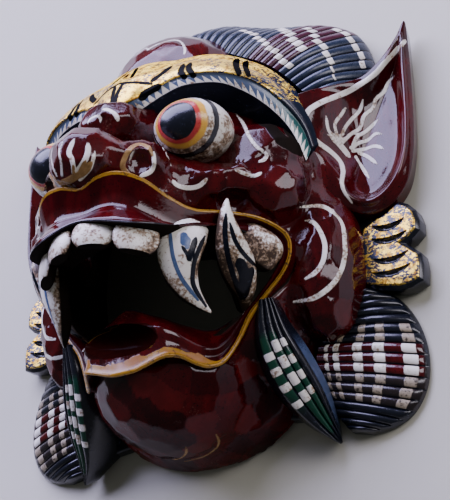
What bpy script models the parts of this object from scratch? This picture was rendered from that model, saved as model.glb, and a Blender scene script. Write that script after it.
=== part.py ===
"""A carved and lacquered Balinese barong mask, lying on its back.

Metres, +Z out of the face, +Y toward the crown, +X to the right of someone who
looks at the face. The right half is carved whole and then mirrored on the plane x = 0.
Point lists are in millimetres and pass through mm().
"""

import math

import bmesh
import bpy
from mathutils import Euler, Matrix, Vector

for old in list(bpy.data.objects):
    bpy.data.objects.remove(old, do_unlink=True)

MM = 0.001

# The block of the head, measured from the middle of the flat back.
SKULL_RADII = (86, 119, 84)
WALL = 11
HOLLOW_DEPTH = 72
CENTRE_Y = 9
CARVING_GRAIN = 2.4 * MM

# Shares of the triangles kept when the melted forms, and then the half, are thinned.
FLESH_SHARE = 0.028
KEPT_SHARE = 0.7

# Ribs of the four hair fans and of the two leaves under the cheeks.
CROWN_RIBS = 22
JAW_RIBS = 17
LEAF_RIBS = 4
GROOVE_DEPTH = 1.5

# The rounded forms that lie on the middle line and so have no twin.
MIDDLE_FORMS = ("skull", "forehead", "muzzle", "nose", "bridge", "bridge_root", "chin",
                "jaw")

EYE_CENTRE = (40, 27.7, 84)
EYE_RADII = (20, 15.2, 20)


def mm(points):
    return [Vector(point) * MM for point in points]


def group(name, shown):
    made = bpy.data.collections.new(name)
    bpy.context.scene.collection.children.link(made)
    made.hide_render = not shown
    return made


MASK = group("barong_mask", True)
FLESH = group("flesh_forms", False)
FEATURES = group("feature_forms", False)
TEETH = group("tooth_forms", False)
MOUTH_CUTTER = group("mouth_cutter", False)
CUTTERS = group("cutters", False)
LEFT_SIDE = group("left_side_cutter", False)


def paint(name, colour, roughness, metallic=0.0):
    made = bpy.data.materials.new(name)
    made.use_nodes = True
    shader = made.node_tree.nodes["Principled BSDF"]
    shader.inputs["Base Color"].default_value = (*colour, 1.0)
    shader.inputs["Roughness"].default_value = roughness
    shader.inputs["Metallic"].default_value = metallic
    return made


LACQUER = paint("maroon_lacquer", (0.12, 0.01, 0.015), 0.25)
GOLD = paint("gold_leaf", (0.80, 0.55, 0.18), 0.40, 0.8)
ENAMEL = paint("white_enamel", (0.80, 0.77, 0.68), 0.35)
INK = paint("black_lacquer", (0.01, 0.01, 0.012), 0.30)
GREEN = paint("green_lacquer", (0.01, 0.12, 0.07), 0.30)


def keep(name, bm, where, finish, angle=38):
    """Turns a finished bmesh into a named object, centred between crown and chin."""
    bmesh.ops.recalc_face_normals(bm, faces=bm.faces)
    bmesh.ops.triangulate(bm, faces=bm.faces)
    if where is not MASK:
        bmesh.ops.translate(bm, verts=bm.verts, vec=(0.0, -CENTRE_Y * MM, 0.0))
    data = bpy.data.meshes.new(name)
    bm.to_mesh(data)
    bm.free()
    data.materials.append(finish)
    data.shade_smooth()
    data.set_sharp_from_angle(angle=math.radians(angle))
    made = bpy.data.objects.new(name, data)
    where.objects.link(made)
    if where is not MASK:
        made.hide_render = True
        made.display_type = "WIRE"
    return made


def twin(made):
    """The mirror image of a rounded form, so that both sides melt into the middle."""
    data = made.data.copy()
    data.transform(Matrix.Diagonal((-1.0, 1.0, 1.0, 1.0)))
    data.flip_normals()
    other = bpy.data.objects.new(made.name + "_left", data)
    made.users_collection[0].objects.link(other)
    other.hide_render = True
    other.display_type = "WIRE"
    return other


def across(half):
    """Half an outline, from the middle out and back to it, with its left half."""
    return half + [(-x, *rest) for x, *rest in reversed(half) if x > 0]


def ball(name, centre, radii, where=FLESH, finish=LACQUER, turn=(0, 0, 0), detail=20,
         squareness=1.0):
    """An ellipsoid, turned by degrees about x, y and z. Under 1 it grows corners."""
    bm = bmesh.new()
    bmesh.ops.create_uvsphere(
        bm, u_segments=detail, v_segments=detail // 2 + 1, radius=1.0
    )
    for vert in bm.verts:
        vert.co = [math.copysign(abs(c) ** squareness, c) for c in vert.co]
    spin = Euler([math.radians(angle) for angle in turn]).to_matrix().to_4x4()
    size = Matrix.Diagonal((*[radius * MM for radius in radii], 1.0))
    place = Matrix.Translation(Vector(centre) * MM)
    bmesh.ops.transform(bm, matrix=place @ spin @ size, verts=bm.verts)
    return keep(name, bm, where, finish)


def rounded(points, steps, closed=False):
    """Points of a smooth curve through the given ones."""
    count = len(points)
    spans = count if closed else count - 1
    out = []
    for i in range(spans):
        if closed:
            a, b, c, d = [points[(i + k) % count] for k in (-1, 0, 1, 2)]
        else:
            b, c = points[i], points[i + 1]
            a = points[i - 1] if i > 0 else b * 2 - c
            d = points[i + 2] if i + 2 < count else c * 2 - b
        for step in range(steps):
            t = step / steps
            out.append(
                0.5
                * (
                    b * 2
                    + (c - a) * t
                    + (a * 2 - b * 5 + c * 4 - d) * t**2
                    + (b * 3 - a - c * 3 + d) * t**3
                )
            )
    if not closed:
        out.append(points[-1].copy())
    return out


def along(points, share):
    """The point at a share of the length of a polyline."""
    lengths = [(b - a).length for a, b in zip(points, points[1:])]
    left = max(0.0, min(1.0, share)) * sum(lengths)
    for a, b, length in zip(points, points[1:], lengths):
        if left <= length or b is points[-1]:
            return a.lerp(b, min(1.0, left / length))
        left -= length
    return points[-1].copy()


def loft(name, rings, where, finish, angle=38, closed=False):
    """A skin over rings of equal count, closed on itself or with a face at each end."""
    bm = bmesh.new()
    rows = [[bm.verts.new(point) for point in ring] for ring in rings]
    count = len(rows[0])
    pairs = list(zip(rows, rows[1:]))
    if closed:
        pairs.append((rows[-1], rows[0]))
    for low, high in pairs:
        for i in range(count):
            j = (i + 1) % count
            bm.faces.new((low[i], low[j], high[j], high[i]))
    if not closed:
        bm.faces.new(rows[0])
        bm.faces.new(rows[-1])
    return keep(name, bm, where, finish, angle)


def rod(name, path, sizes, where, finish, sides=10, origin=(0, 0, -70), steps=3):
    """An oval rod along a path. Sizes are (half width, half height) at each point,
    and height points away from the origin."""
    smooth = rounded(mm(path), steps)
    wide = rounded([Vector((*size, 0.0)) * MM for size in sizes], steps)
    rings = []
    for i, (point, size) in enumerate(zip(smooth, wide)):
        ahead = smooth[min(i + 1, len(smooth) - 1)] - smooth[max(i - 1, 0)]
        outward = point - Vector(origin) * MM
        side = ahead.cross(outward).normalized()
        rise = side.cross(ahead).normalized()
        turns = [math.tau * (k + 0.5) / sides for k in range(sides)]
        rings.append(
            [
                point + side * (math.cos(a) * size.x) + rise * (math.sin(a) * size.y)
                for a in turns
            ]
        )
    return loft(name, rings, where, finish, 50)


def ribbed_fan(name, inner, outer, ribs, swell, base, where, finish):
    """A shell of ribs that run from the inner curve to the outer one."""
    inner = rounded(mm(inner), 6)
    outer = rounded(mm(outer), 6)
    bm = bmesh.new()
    rows = []
    for k in range(ribs * 2 + 1):
        share = (k // 2 + (0.0, 0.55)[k % 2]) / ribs
        start, end = along(inner, share), along(outer, share)
        row = []
        for s in range(4):
            t = s / 3
            point = start.lerp(end, t)
            point.z += swell * MM * math.sin(math.pi * t)
            if k % 2 == 0:
                point.z -= GROOVE_DEPTH * MM
            row.append(bm.verts.new(point))
        rows.append(row)
    for low, high in zip(rows, rows[1:]):
        for a, b, c, d in zip(low, low[1:], high[1:], high):
            bm.faces.new((a, b, c, d))
    rim = [edge for edge in bm.edges if edge.is_boundary]
    grown = bmesh.ops.extrude_edge_only(bm, edges=rim)["geom"]
    for vert in grown:
        if isinstance(vert, bmesh.types.BMVert):
            vert.co.z = base * MM
    floor = [edge for edge in bm.edges if edge.is_boundary]
    bmesh.ops.holes_fill(bm, edges=floor, sides=0)
    return keep(name, bm, where, finish, 25)


def flat_piece(name, outline, top, base, chamfer, where, finish):
    """A flat-faced piece with chamfered edges, drawn looking down on it."""
    bm = bmesh.new()
    corners = [bm.verts.new(Vector((x, y, base)) * MM) for x, y in outline]
    face = bm.faces.new(corners)
    if face.normal.z < 0:
        face.normal_flip()
    raised = bmesh.ops.extrude_face_region(bm, geom=[face])["geom"]
    cap = [item for item in raised if isinstance(item, bmesh.types.BMFace)][0]
    for vert in cap.verts:
        vert.co.z = top * MM
    bmesh.ops.inset_region(
        bm, faces=[cap], thickness=chamfer * MM, depth=chamfer * MM, use_even_offset=True
    )
    bmesh.ops.recalc_face_normals(bm, faces=bm.faces)
    return keep(name, bm, where, finish, 25)


def flesh():
    """The rounded forms, which melt into one another."""
    ball("skull", (0, 2, 0), SKULL_RADII, detail=40)
    ball("forehead", (0, 83, 36), (40, 36, 38), detail=24)
    ball("muzzle", (0, -2, 56), (50, 33, 59), detail=28)
    ball("nose", (0, 4.5, 116), (18.5, 15.5, 19))
    ball("nose_saddle", (14, 7, 106), (15, 9.5, 13))
    ball("nostril", (23, 5.7, 101), (12.5, 12, 13))
    ball("bridge", (0, 35.5, 96), (16, 12, 16))
    ball("bridge_root", (0, 34, 78), (22, 22, 20))
    ball("chin", (0, -82, 34), (43, 37, 43), detail=28)
    ball("jaw", (0, -72, 6), (62, 47, 40), detail=28)
    ball("cheekbone", (66, 1, 53), (18, 16, 17))
    ball("cheek", (79, -28.5, 20), (18, 41.5, 24), detail=24)
    ball("temple", (70, 20, 26), (16, 46, 22))
    ball("outer_lid", (57, 18, 50), (25, 22, 24))
    rod(
        "under_eye",
        [(20, 2, 92), (32, 4, 86), (45, 0, 79), (57, 3, 71), (70, 5, 58), (80, 8, 46)],
        [(7, 8), (9, 8), (9, 9), (8, 8), (8, 8), (7, 7)],
        FLESH,
        LACQUER,
    )
    for form in list(FLESH.objects):
        if form.name not in MIDDLE_FORMS:
            twin(form)


def lip_stations():
    """Sections of the lips from under the nose round the corner to the chin.

    Each has the gilt outer edge, the hollow, the roll and the mouth edge.
    """
    edge = [
        (0, -9, 120), (11, -6, 121), (22, -6, 119), (31, -9.5, 112), (37, -15, 100),
        (43.5, -18.5, 89), (53, -17.5, 78), (65, -18, 65), (73, -23, 53),
        (73.5, -31, 48.5), (69.5, -40.5, 48), (60.5, -51.5, 49.5), (52.5, -61, 51),
        (47.5, -71, 52), (43.5, -79, 54), (40, -84.5, 57), (35.5, -87, 62),
        (32, -86.5, 67), (28, -84.5, 74), (23, -85, 80), (14, -87.5, 81),
        (7, -89.5, 81.5), (0, -90, 82),
    ]
    roll = [
        (0, -24, 124), (12, -24.5, 124), (23, -25.5, 122), (33, -28, 115),
        (41, -30.5, 104), (48, -26.5, 93), (54, -24.5, 82), (61, -25, 69),
        (66, -29, 58), (67, -35, 53.5), (62, -42, 52.5), (55.5, -50, 52),
        (49, -59, 53), (45, -67, 54.5), (41, -73.5, 56.5), (37, -77, 60),
        (33, -78, 65), (29.5, -76, 72), (27, -76, 78), (22, -77, 82.5),
        (14, -78, 83), (7, -78, 83.5), (0, -78, 84),
    ]
    rim = [
        (0, -29, 120), (13, -31, 120), (25, -34, 118), (34, -34, 111), (39, -32, 101),
        (44.5, -28, 89), (50, -28, 78), (55, -30, 66), (60, -33, 56), (60.5, -38, 51),
        (56, -43, 49), (50, -48.5, 48), (45, -55, 48), (41, -60, 49), (37, -63, 51),
        (33.5, -65.5, 54), (30, -66.5, 58), (26, -66, 64), (22, -65, 70),
        (17, -63, 75), (11, -61, 78), (6, -58.5, 79), (0, -57, 79.5),
    ]
    return mm(edge), mm(roll), mm(rim)


def lips():
    """One band round the mouth: a gilt ledge outside, the mouth edge inside."""
    edge, roll, rim = lip_stations()
    rings = []
    for i, (outer, crest, inner) in enumerate(zip(edge, roll, rim)):
        upper = max(0.0, 1.0 - i / 6)
        hollow = outer.lerp(crest, 0.5)
        hollow.z -= 4.5 * MM * upper
        throat = inner + Vector((0.0, 0.0, -26 * MM))
        deep = Vector((outer.x * 0.96, outer.y * 0.96, outer.z - 28 * MM))
        ledge = outer.lerp(deep, 0.2)
        if i > 12:
            ledge = ledge.lerp(throat, 0.12)
        rings.append([outer, hollow, crest, inner, throat, deep, ledge])
    left = [[Vector((-p.x, p.y, p.z)) for p in ring] for ring in rings[-2:0:-1]]
    loft("lips", rings + left, FEATURES, LACQUER, 30, closed=True)


def brow():
    """The gilt brow that overhangs the eye, with the lash strip on its lower edge."""
    under = [
        (0, 43, 90), (10, 47, 89), (16, 50, 88), (23, 54, 86), (34, 57, 84),
        (50, 56, 79), (60, 52, 72), (69, 45, 64), (76, 36, 56), (80, 26, 50),
        (82, 17, 46),
    ]
    lash = [
        (0, 47, 97), (8, 50, 95), (14, 54, 91), (22, 57.5, 89), (31, 61.5, 86),
        (46, 61, 83), (59, 58.5, 77), (69, 54, 68), (77, 45, 58), (82, 35, 49),
        (84, 24, 44),
    ]
    full = [
        (0, 66, 92), (9, 68, 90), (17, 70, 86), (26, 73, 82), (38, 74.5, 78),
        (52, 72, 73), (63, 66, 67), (73, 59, 58), (80, 49, 49), (84, 39, 42),
        (85, 29, 37),
    ]
    top = [
        (0, 91, 69), (9, 90, 68), (19, 88, 66), (29, 88, 63), (40, 87, 60),
        (53, 81, 58), (66, 73, 53), (76, 62, 45), (82, 53, 38), (85, 43, 32),
        (86, 33, 28),
    ]
    rings = []
    for low, line, belly, high in zip(mm(under), mm(lash), mm(full), mm(top)):
        inside = Vector((low.x * 0.8, low.y * 0.82, low.z - 22 * MM))
        behind = Vector((high.x * 0.8, high.y * 0.82, high.z - 16 * MM))
        rings.append([low, line, belly, high, behind, inside])
    left = [[Vector((-p.x, p.y, p.z)) for p in ring] for ring in rings[:0:-1]]
    loft("brow", left + rings, FEATURES, GOLD, 30)


def ear():
    """A tall pointed ear with a scooped cup, its edge standing off the wall."""
    outer = [
        (126.5, 104, 13.5), (127.5, 86, 13), (127.7, 66, 13), (127.4, 46, 13),
        (126, 27, 13), (121.5, 10, 13), (113, 0, 13), (103, -4, 13.5), (94, -3, 20),
        (86, 2, 29), (79, 12, 36), (76, 28, 41), (76, 45, 41), (77, 57, 38),
        (86, 62.5, 30), (95, 64, 26), (103, 67, 22), (111, 74, 19), (117.5, 83, 17),
        (123, 94, 15),
    ]
    rim = [
        (124.3, 91, 16.5), (124.3, 76, 17), (124.3, 60, 17), (124, 44, 17),
        (122.5, 27, 17.5), (118, 13.5, 18), (110.5, 4.5, 18.5), (102.5, 0.5, 20.5),
        (95.5, 3, 25), (92.5, 11, 29.5), (86, 22, 34), (79, 33, 36.5),
        (77.5, 44, 37), (81.5, 54, 34), (89, 60, 29.5), (97, 62.5, 25.5),
        (104.5, 66, 22.5), (111, 72.5, 20), (116.5, 80, 18.5), (121, 88, 17.5),
    ]
    centre = Vector((105, 30, 12)) * MM
    outer, rim = mm(outer), mm(rim)
    rings = []
    rings.append([Vector((p.x * 0.985, p.y * 0.98, 4 * MM)) for p in outer])
    rings.append(outer)
    rings.append(rim)
    slope = []
    for point in rim:
        inner = point.lerp(centre, 0.22)
        inner.z = point.z - 5 * MM
        slope.append(inner)
    rings.append(slope)
    rings.append([point.lerp(centre, 0.62) for point in slope])
    loft("ear", rings, FEATURES, LACQUER, 30)


def pendant():
    """The gilt two-lobed ear pendant with four cut crescents."""
    outline = [
        (94, -9), (108, -3), (114.5, 1), (123.5, -6), (125, -17.5), (120.5, -21.5),
        (117, -23), (120, -25.5), (125, -30), (125, -44.5), (113, -47), (92, -41),
        (90, -24),
    ]
    flat_piece("pendant", outline, 11.5, 2, 2.6, FEATURES, GOLD)
    for i, (y, span) in enumerate([(-10, 9), (-17, 10), (-28, 10), (-35, 11)]):
        path = [(109 + span * x, y - 3 * (1 - x * x), 14.8) for x in (-1, -0.5, 0, 0.5, 1)]
        sizes = [(0.5, 1), (1.3, 2), (1.6, 2.2), (1.3, 2), (0.5, 1)]
        rod(f"pendant_groove_{i}", path, sizes, CUTTERS, INK, sides=4,
            origin=(109, y, -400), steps=1)


def fans():
    ribbed_fan(
        "crown_fan",
        [(7, 112, 44), (24, 106, 43), (40, 97, 42), (56, 87, 41), (67, 77, 37),
         (74, 68, 33), (82, 61, 29)],
        [(7, 133, 25), (22, 134, 24), (38, 130, 20), (52, 126, 17), (65, 124, 14.5),
         (78, 121, 13), (88, 116.5, 11), (97.5, 108, 10), (102.5, 95, 9),
         (104.5, 81, 8.5), (102, 66, 9)],
        CROWN_RIBS, 6, 2.5, FEATURES, INK,
    )
    ribbed_fan(
        "jaw_fan",
        [(93, -43, 14), (84, -54, 16), (76, -64, 17), (70, -73, 18), (70, -84, 17),
         (73, -95, 14), (77, -106, 9), (81, -112, 6.5)],
        [(99, -42.5, 6), (109, -48.5, 5.5), (117.5, -62, 5), (121.5, -78, 5),
         (120, -94, 5), (113, -106, 5), (103, -112, 5), (91, -114, 5.5)],
        JAW_RIBS, 3.5, 1.5, FEATURES, INK,
    )
    crest = [(0, 136.7), (6, 135.7), (14, 131), (19, 124), (20, 112), (16, 102), (0, 98)]
    flat_piece("crown_leaf", across(crest), 27, 3, 3.5, FEATURES, GREEN)
    backing = [
        (0, 110), (30, 118), (68, 100), (90, 72), (98, 40), (99, 0), (98, -42),
        (90, -70), (82, -100), (68, -104), (40, -100), (0, -90),
    ]
    flat_piece("backing", across(backing), 8, 1, 0.8, FEATURES, INK)


def leaf():
    """A long ribbed leaf that hangs from under the cheek over the hair."""
    spine = rounded(mm([(60, -54, 50), (60.5, -70, 45), (63.5, -84, 37.5),
                        (67.5, -97, 27), (71, -107, 17), (76, -116.5, 7.5)]), 1)
    rings = []
    for i, point in enumerate(spine):
        t = i / (len(spine) - 1)
        width = MM * (1.0 + 11.5 * math.sin(math.pi * min(1.0, 0.18 + 0.82 * t)) ** 0.8)
        ahead = spine[min(i + 1, len(spine) - 1)] - spine[max(i - 1, 0)]
        side = ahead.cross(Vector((-0.37, 0.40, -0.84))).normalized()
        rise = ahead.cross(side).normalized()
        if rise.z < 0:
            rise = -rise
        ring = [point - side * width - rise * 6 * MM]
        for k in range(LEAF_RIBS * 2 + 1):
            across = (k / LEAF_RIBS - 1.0) * 0.66
            lift = 0.0 if k % 2 else -1.2
            ring.append(point + side * width * across + rise * (2.5 + lift) * MM)
        ring.append(point + side * width - rise * 6 * MM)
        ring.append(point + side * width * 0.8 - rise * 22 * MM)
        ring.append(point - side * width * 0.8 - rise * 22 * MM)
        rings.append(ring)
    for ring in rings:
        for point in ring[:-2]:
            point.z = max(point.z, 3 * MM)
        for point in ring[-2:]:
            point.z = max(point.z, 1 * MM)
    loft("leaf", rings, FEATURES, GREEN, 25)


def teeth():
    ball("incisor_1", (8.6, -34.5, 112), (10, 8.5, 10.5), TEETH, ENAMEL, (0, 8, -3), 12, 0.8)
    ball("incisor_2", (23.5, -37, 105), (10.2, 9.2, 11), TEETH, ENAMEL, (0, 36, -12), 12,
         0.8)
    rod("fang",
        [(38.5, -29, 86), (37.5, -39, 90), (35.5, -48, 88), (36, -55, 83),
         (39, -60.5, 78.5), (43, -64.5, 74)],
        [(8, 6), (9, 7), (7.5, 6), (6, 5), (3.2, 3), (0.8, 0.8)],
        TEETH, ENAMEL, 8, (10, -50, 0), 2)
    rod("tusk",
        [(54, -62, 46), (50.5, -51, 57), (48.5, -40, 66), (48.5, -29, 71),
         (51, -18, 74), (54.5, -8.5, 75)],
        [(6, 7), (6.5, 8), (6.5, 8), (6, 7), (4, 5), (0.9, 1)],
        TEETH, ENAMEL, 8, (10, -40, 0), 2)
    ball("molar", (59.5, -29, 49), (9, 10, 8.5), TEETH, ENAMEL, (0, 35, 0), 12, 0.85)
    ball("eyeball", EYE_CENTRE, EYE_RADII, TEETH, ENAMEL, detail=14)


def cutters():
    """The hollow back, the open mouth and the scoop in the lower lip."""
    hollow = [radius - WALL for radius in SKULL_RADII]
    ball("hollow_head", (0, 2, 0), (*hollow[:2], HOLLOW_DEPTH), CUTTERS, INK, detail=18)
    ball("hollow_muzzle", (0, -14, 50), (35, 24, 50), CUTTERS, INK, detail=14)
    ball("hollow_chin", (0, -66, 6), (44, 32, 50), CUTTERS, INK, detail=14)
    middle = Vector((0.0, -0.045))
    shape = []
    for point in lip_stations()[2]:
        flat = Vector((point.x, point.y))
        grown = flat + (flat - middle).normalized() * 4 * MM
        shape.append((max(0.0, grown.x), grown.y, 30 * MM))
    bm = bmesh.new()
    face = bm.faces.new([bm.verts.new(point) for point in across(shape)])
    raised = bmesh.ops.extrude_face_region(bm, geom=[face])["geom"]
    for item in raised:
        if isinstance(item, bmesh.types.BMVert):
            item.co.z = 150 * MM
    keep("mouth", bm, MOUTH_CUTTER, INK)
    boxes = (("wall_side", (0, 0, -0.2), CUTTERS), ("left_side", (-0.2, 0, 0), LEFT_SIDE))
    for name, shift, where in boxes:
        bm = bmesh.new()
        bmesh.ops.create_cube(bm, size=0.4)
        bmesh.ops.translate(bm, verts=bm.verts, vec=shift)
        keep(name, bm, where, INK)
    ball("lip_scoop", (0, -75, 93), (23, 7.5, 15), CUTTERS, INK, detail=14)


def add(target, label, kind, **settings):
    made = target.modifiers.new(label, kind)
    for setting, value in settings.items():
        setattr(made, setting, value)
    return made


def flesh_block():
    """Joins the rounded forms, melts them together and thins their facets."""
    joined = bmesh.new()
    for form in list(FLESH.objects):
        joined.from_mesh(form.data)
    block = keep("carved_block", joined, MASK, LACQUER, 60)
    add(block, "melt", "REMESH", mode="VOXEL", voxel_size=CARVING_GRAIN)
    add(block, "soften", "SMOOTH", factor=0.5, iterations=2)
    add(block, "facets", "DECIMATE", ratio=FLESH_SHARE)
    return block


def whole(half):
    """The right half, opened where it was cut in the middle, joined to its mirror image."""
    bm = bmesh.new()
    bm.from_object(half, bpy.context.evaluated_depsgraph_get())
    middle = [f for f in bm.faces if all(abs(v.co.x) < 1e-7 for v in f.verts)]
    bmesh.ops.delete(bm, geom=middle, context="FACES")
    both = [*bm.verts, *bm.edges, *bm.faces]
    bmesh.ops.mirror(bm, geom=both, axis="X", merge_dist=1e-6)
    bpy.data.objects.remove(half, do_unlink=True)
    return keep("barong_mask", bm, MASK, LACQUER, 30)


flesh()
lips()
brow()
ear()
pendant()
fans()
leaf()
teeth()
cutters()
half = flesh_block()
steps = [
    ("mouth", "DIFFERENCE", MOUTH_CUTTER, "EXACT"),
    ("features", "UNION", FEATURES, "MANIFOLD"),
    ("teeth", "UNION", TEETH, "MANIFOLD"),
    ("hollows", "DIFFERENCE", CUTTERS, "MANIFOLD"),
]
for label, operation, forms, solver in steps:
    add(half, label, "BOOLEAN", operation=operation, operand_type="COLLECTION",
        collection=forms, solver=solver)
add(half, "slivers", "DECIMATE", ratio=KEPT_SHARE)
add(half, "right_half", "BOOLEAN", operation="DIFFERENCE", operand_type="COLLECTION",
    collection=LEFT_SIDE, solver="MANIFOLD")
whole(half)
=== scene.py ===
# %% [markdown]
# # A carved barong mask
#
# A barong is the lion-like guardian of Balinese dance. The mask is cut from one block of light
# wood, hollowed from behind, and finished in maroon lacquer, gold leaf, white enamel and black and
# green paint. The part's source already holds the block as one plain solid. This notebook carves
# the same forms again with a finer surface, and paints them. It works in the part's own frame:
# the mask lies on its back, Z points out of the face, Y to the crown and X to the right.

import math

import bmesh
import bpy
import numpy as np
from mathutils import Euler, Matrix, Vector
from mathutils.bvhtree import BVHTree
from mathutils.kdtree import KDTree


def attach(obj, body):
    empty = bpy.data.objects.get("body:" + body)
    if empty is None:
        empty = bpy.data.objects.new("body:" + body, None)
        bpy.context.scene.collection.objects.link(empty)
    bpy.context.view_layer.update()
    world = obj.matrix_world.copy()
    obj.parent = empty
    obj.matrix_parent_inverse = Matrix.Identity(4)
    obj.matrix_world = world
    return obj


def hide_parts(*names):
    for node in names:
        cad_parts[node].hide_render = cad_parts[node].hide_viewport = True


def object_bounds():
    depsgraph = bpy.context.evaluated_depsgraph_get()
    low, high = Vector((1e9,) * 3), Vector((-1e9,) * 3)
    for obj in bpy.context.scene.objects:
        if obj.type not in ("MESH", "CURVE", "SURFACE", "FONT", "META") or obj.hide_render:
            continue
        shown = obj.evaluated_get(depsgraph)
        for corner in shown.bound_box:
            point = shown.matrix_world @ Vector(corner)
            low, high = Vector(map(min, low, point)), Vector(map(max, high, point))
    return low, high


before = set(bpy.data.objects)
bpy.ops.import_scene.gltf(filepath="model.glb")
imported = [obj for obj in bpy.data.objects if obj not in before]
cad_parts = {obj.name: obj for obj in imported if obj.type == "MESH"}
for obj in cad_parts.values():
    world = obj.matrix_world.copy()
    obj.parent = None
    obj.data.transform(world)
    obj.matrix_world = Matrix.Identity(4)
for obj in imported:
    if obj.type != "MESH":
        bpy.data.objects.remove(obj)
cad_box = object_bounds()
MM = 0.001
BODY, NODE, SLOT = "root", "barong_mask", "carved_wood"
print("carved block, mm:", [round(side / MM) for side in cad_box[1] - cad_box[0]])

# %% [markdown]
# ## The camera
#
# The camera comes first, because the painted strokes are laid along the lines of sight of the
# photograph. It looks at the mask from its chin and its right, from about 60 cm away. Its turn,
# its rise and its lens were worked out from pairs of points that lie on both halves of the face.

# %% Place the camera
TURN, RISE = math.radians(32), math.radians(25)
CAMERA_AT = Vector((0.3246, -0.2846, 0.5104))
LENS, SENSOR = 86.4, 36.0
FRAME_WIDE, FRAME_HIGH = 450, 500


def put(name, data):
    """Adds an object to the scene."""
    made = bpy.data.objects.new(name, data)
    bpy.context.scene.collection.objects.link(made)
    return made


look = Vector((-math.sin(TURN) * math.cos(RISE), math.sin(RISE),
               -math.cos(TURN) * math.cos(RISE)))
upward = Vector((math.sin(TURN) * math.sin(RISE), math.cos(RISE),
                 math.cos(TURN) * math.sin(RISE)))
rightward = look.cross(upward)
lens = bpy.data.cameras.new("camera")
lens.lens, lens.sensor_width = LENS, SENSOR
camera = put("camera", lens)
turned = Matrix((rightward, upward, -look)).transposed().to_4x4()
camera.matrix_world = Matrix.Translation(CAMERA_AT) @ turned
bpy.context.scene.camera = camera
print("camera to the middle of the back, cm:", round(CAMERA_AT.length * 100))


# %% Turn a pixel of the photograph into a line of sight
def sight(u, v):
    """The direction from the camera through a pixel of the 450 by 500 frame."""
    far = LENS / SENSOR * FRAME_HIGH
    across, down = (u - FRAME_WIDE / 2) / far, (v - FRAME_HIGH / 2) / far
    return (look + rightward * across - upward * down).normalized()


EYE_DISTANCE = 590
print("one pixel at the eye, mm:", round(EYE_DISTANCE / (LENS / SENSOR * FRAME_HIGH), 2))

# %% [markdown]
# ## A small language for finishes
#
# A finish is a tree of shader nodes. Writing each node by hand hides the idea, so one class wraps
# a socket and lets Python's own signs add the Math nodes, and another builds the material. All
# patterns read the object's own coordinates, in metres, or values stored on the mesh.
#
# Dark paint in a recess stays dark even when a bright panel stands before it, because dust and
# handling take its gloss away. So a finish may name a dull share, which mixes in a second shader
# of the same colour that mirrors nothing.


# %% Let numbers and colours vary over a surface
class Shade:
    """An output socket. Arithmetic on it adds Math nodes."""

    def __init__(self, finish, socket):
        self.finish, self.socket = finish, socket

    def arithmetic(self, operation, a, b):
        return self.finish.node("ShaderNodeMath", {"operation": operation}, {0: a, 1: b})

    def __add__(self, other):
        return self.arithmetic("ADD", self, other)

    def __sub__(self, other):
        return self.arithmetic("SUBTRACT", self, other)

    def __rsub__(self, other):
        return self.arithmetic("SUBTRACT", other, self)

    def __mul__(self, other):
        return self.arithmetic("MULTIPLY", self, other)

    def __truediv__(self, other):
        return self.arithmetic("DIVIDE", self, other)

    def __mod__(self, other):
        return self.arithmetic("FLOORED_MODULO", self, other)

    def __pow__(self, other):
        return self.arithmetic("POWER", self, other)

    def __abs__(self):
        return self.arithmetic("ABSOLUTE", self, 0.0)

    def least(self, other):
        return self.arithmetic("MINIMUM", self, other)

    def most(self, other):
        return self.arithmetic("MAXIMUM", self, other)

    def below(self, limit, soft=0.1):
        """1 where the value is under the limit, 0 above it, with an edge this soft."""
        return self.finish.node(
            "ShaderNodeMapRange", {"interpolation_type": "SMOOTHSTEP"},
            {0: self, 1: limit - soft / 2, 2: limit + soft / 2, 3: 1.0, 4: 0.0})

    def above(self, limit, soft=0.1):
        return 1.0 - self.below(limit, soft)

    __radd__, __rmul__ = __add__, __mul__


print("signs that add a node to a shade:", "+ - * / % ** abs")


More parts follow.
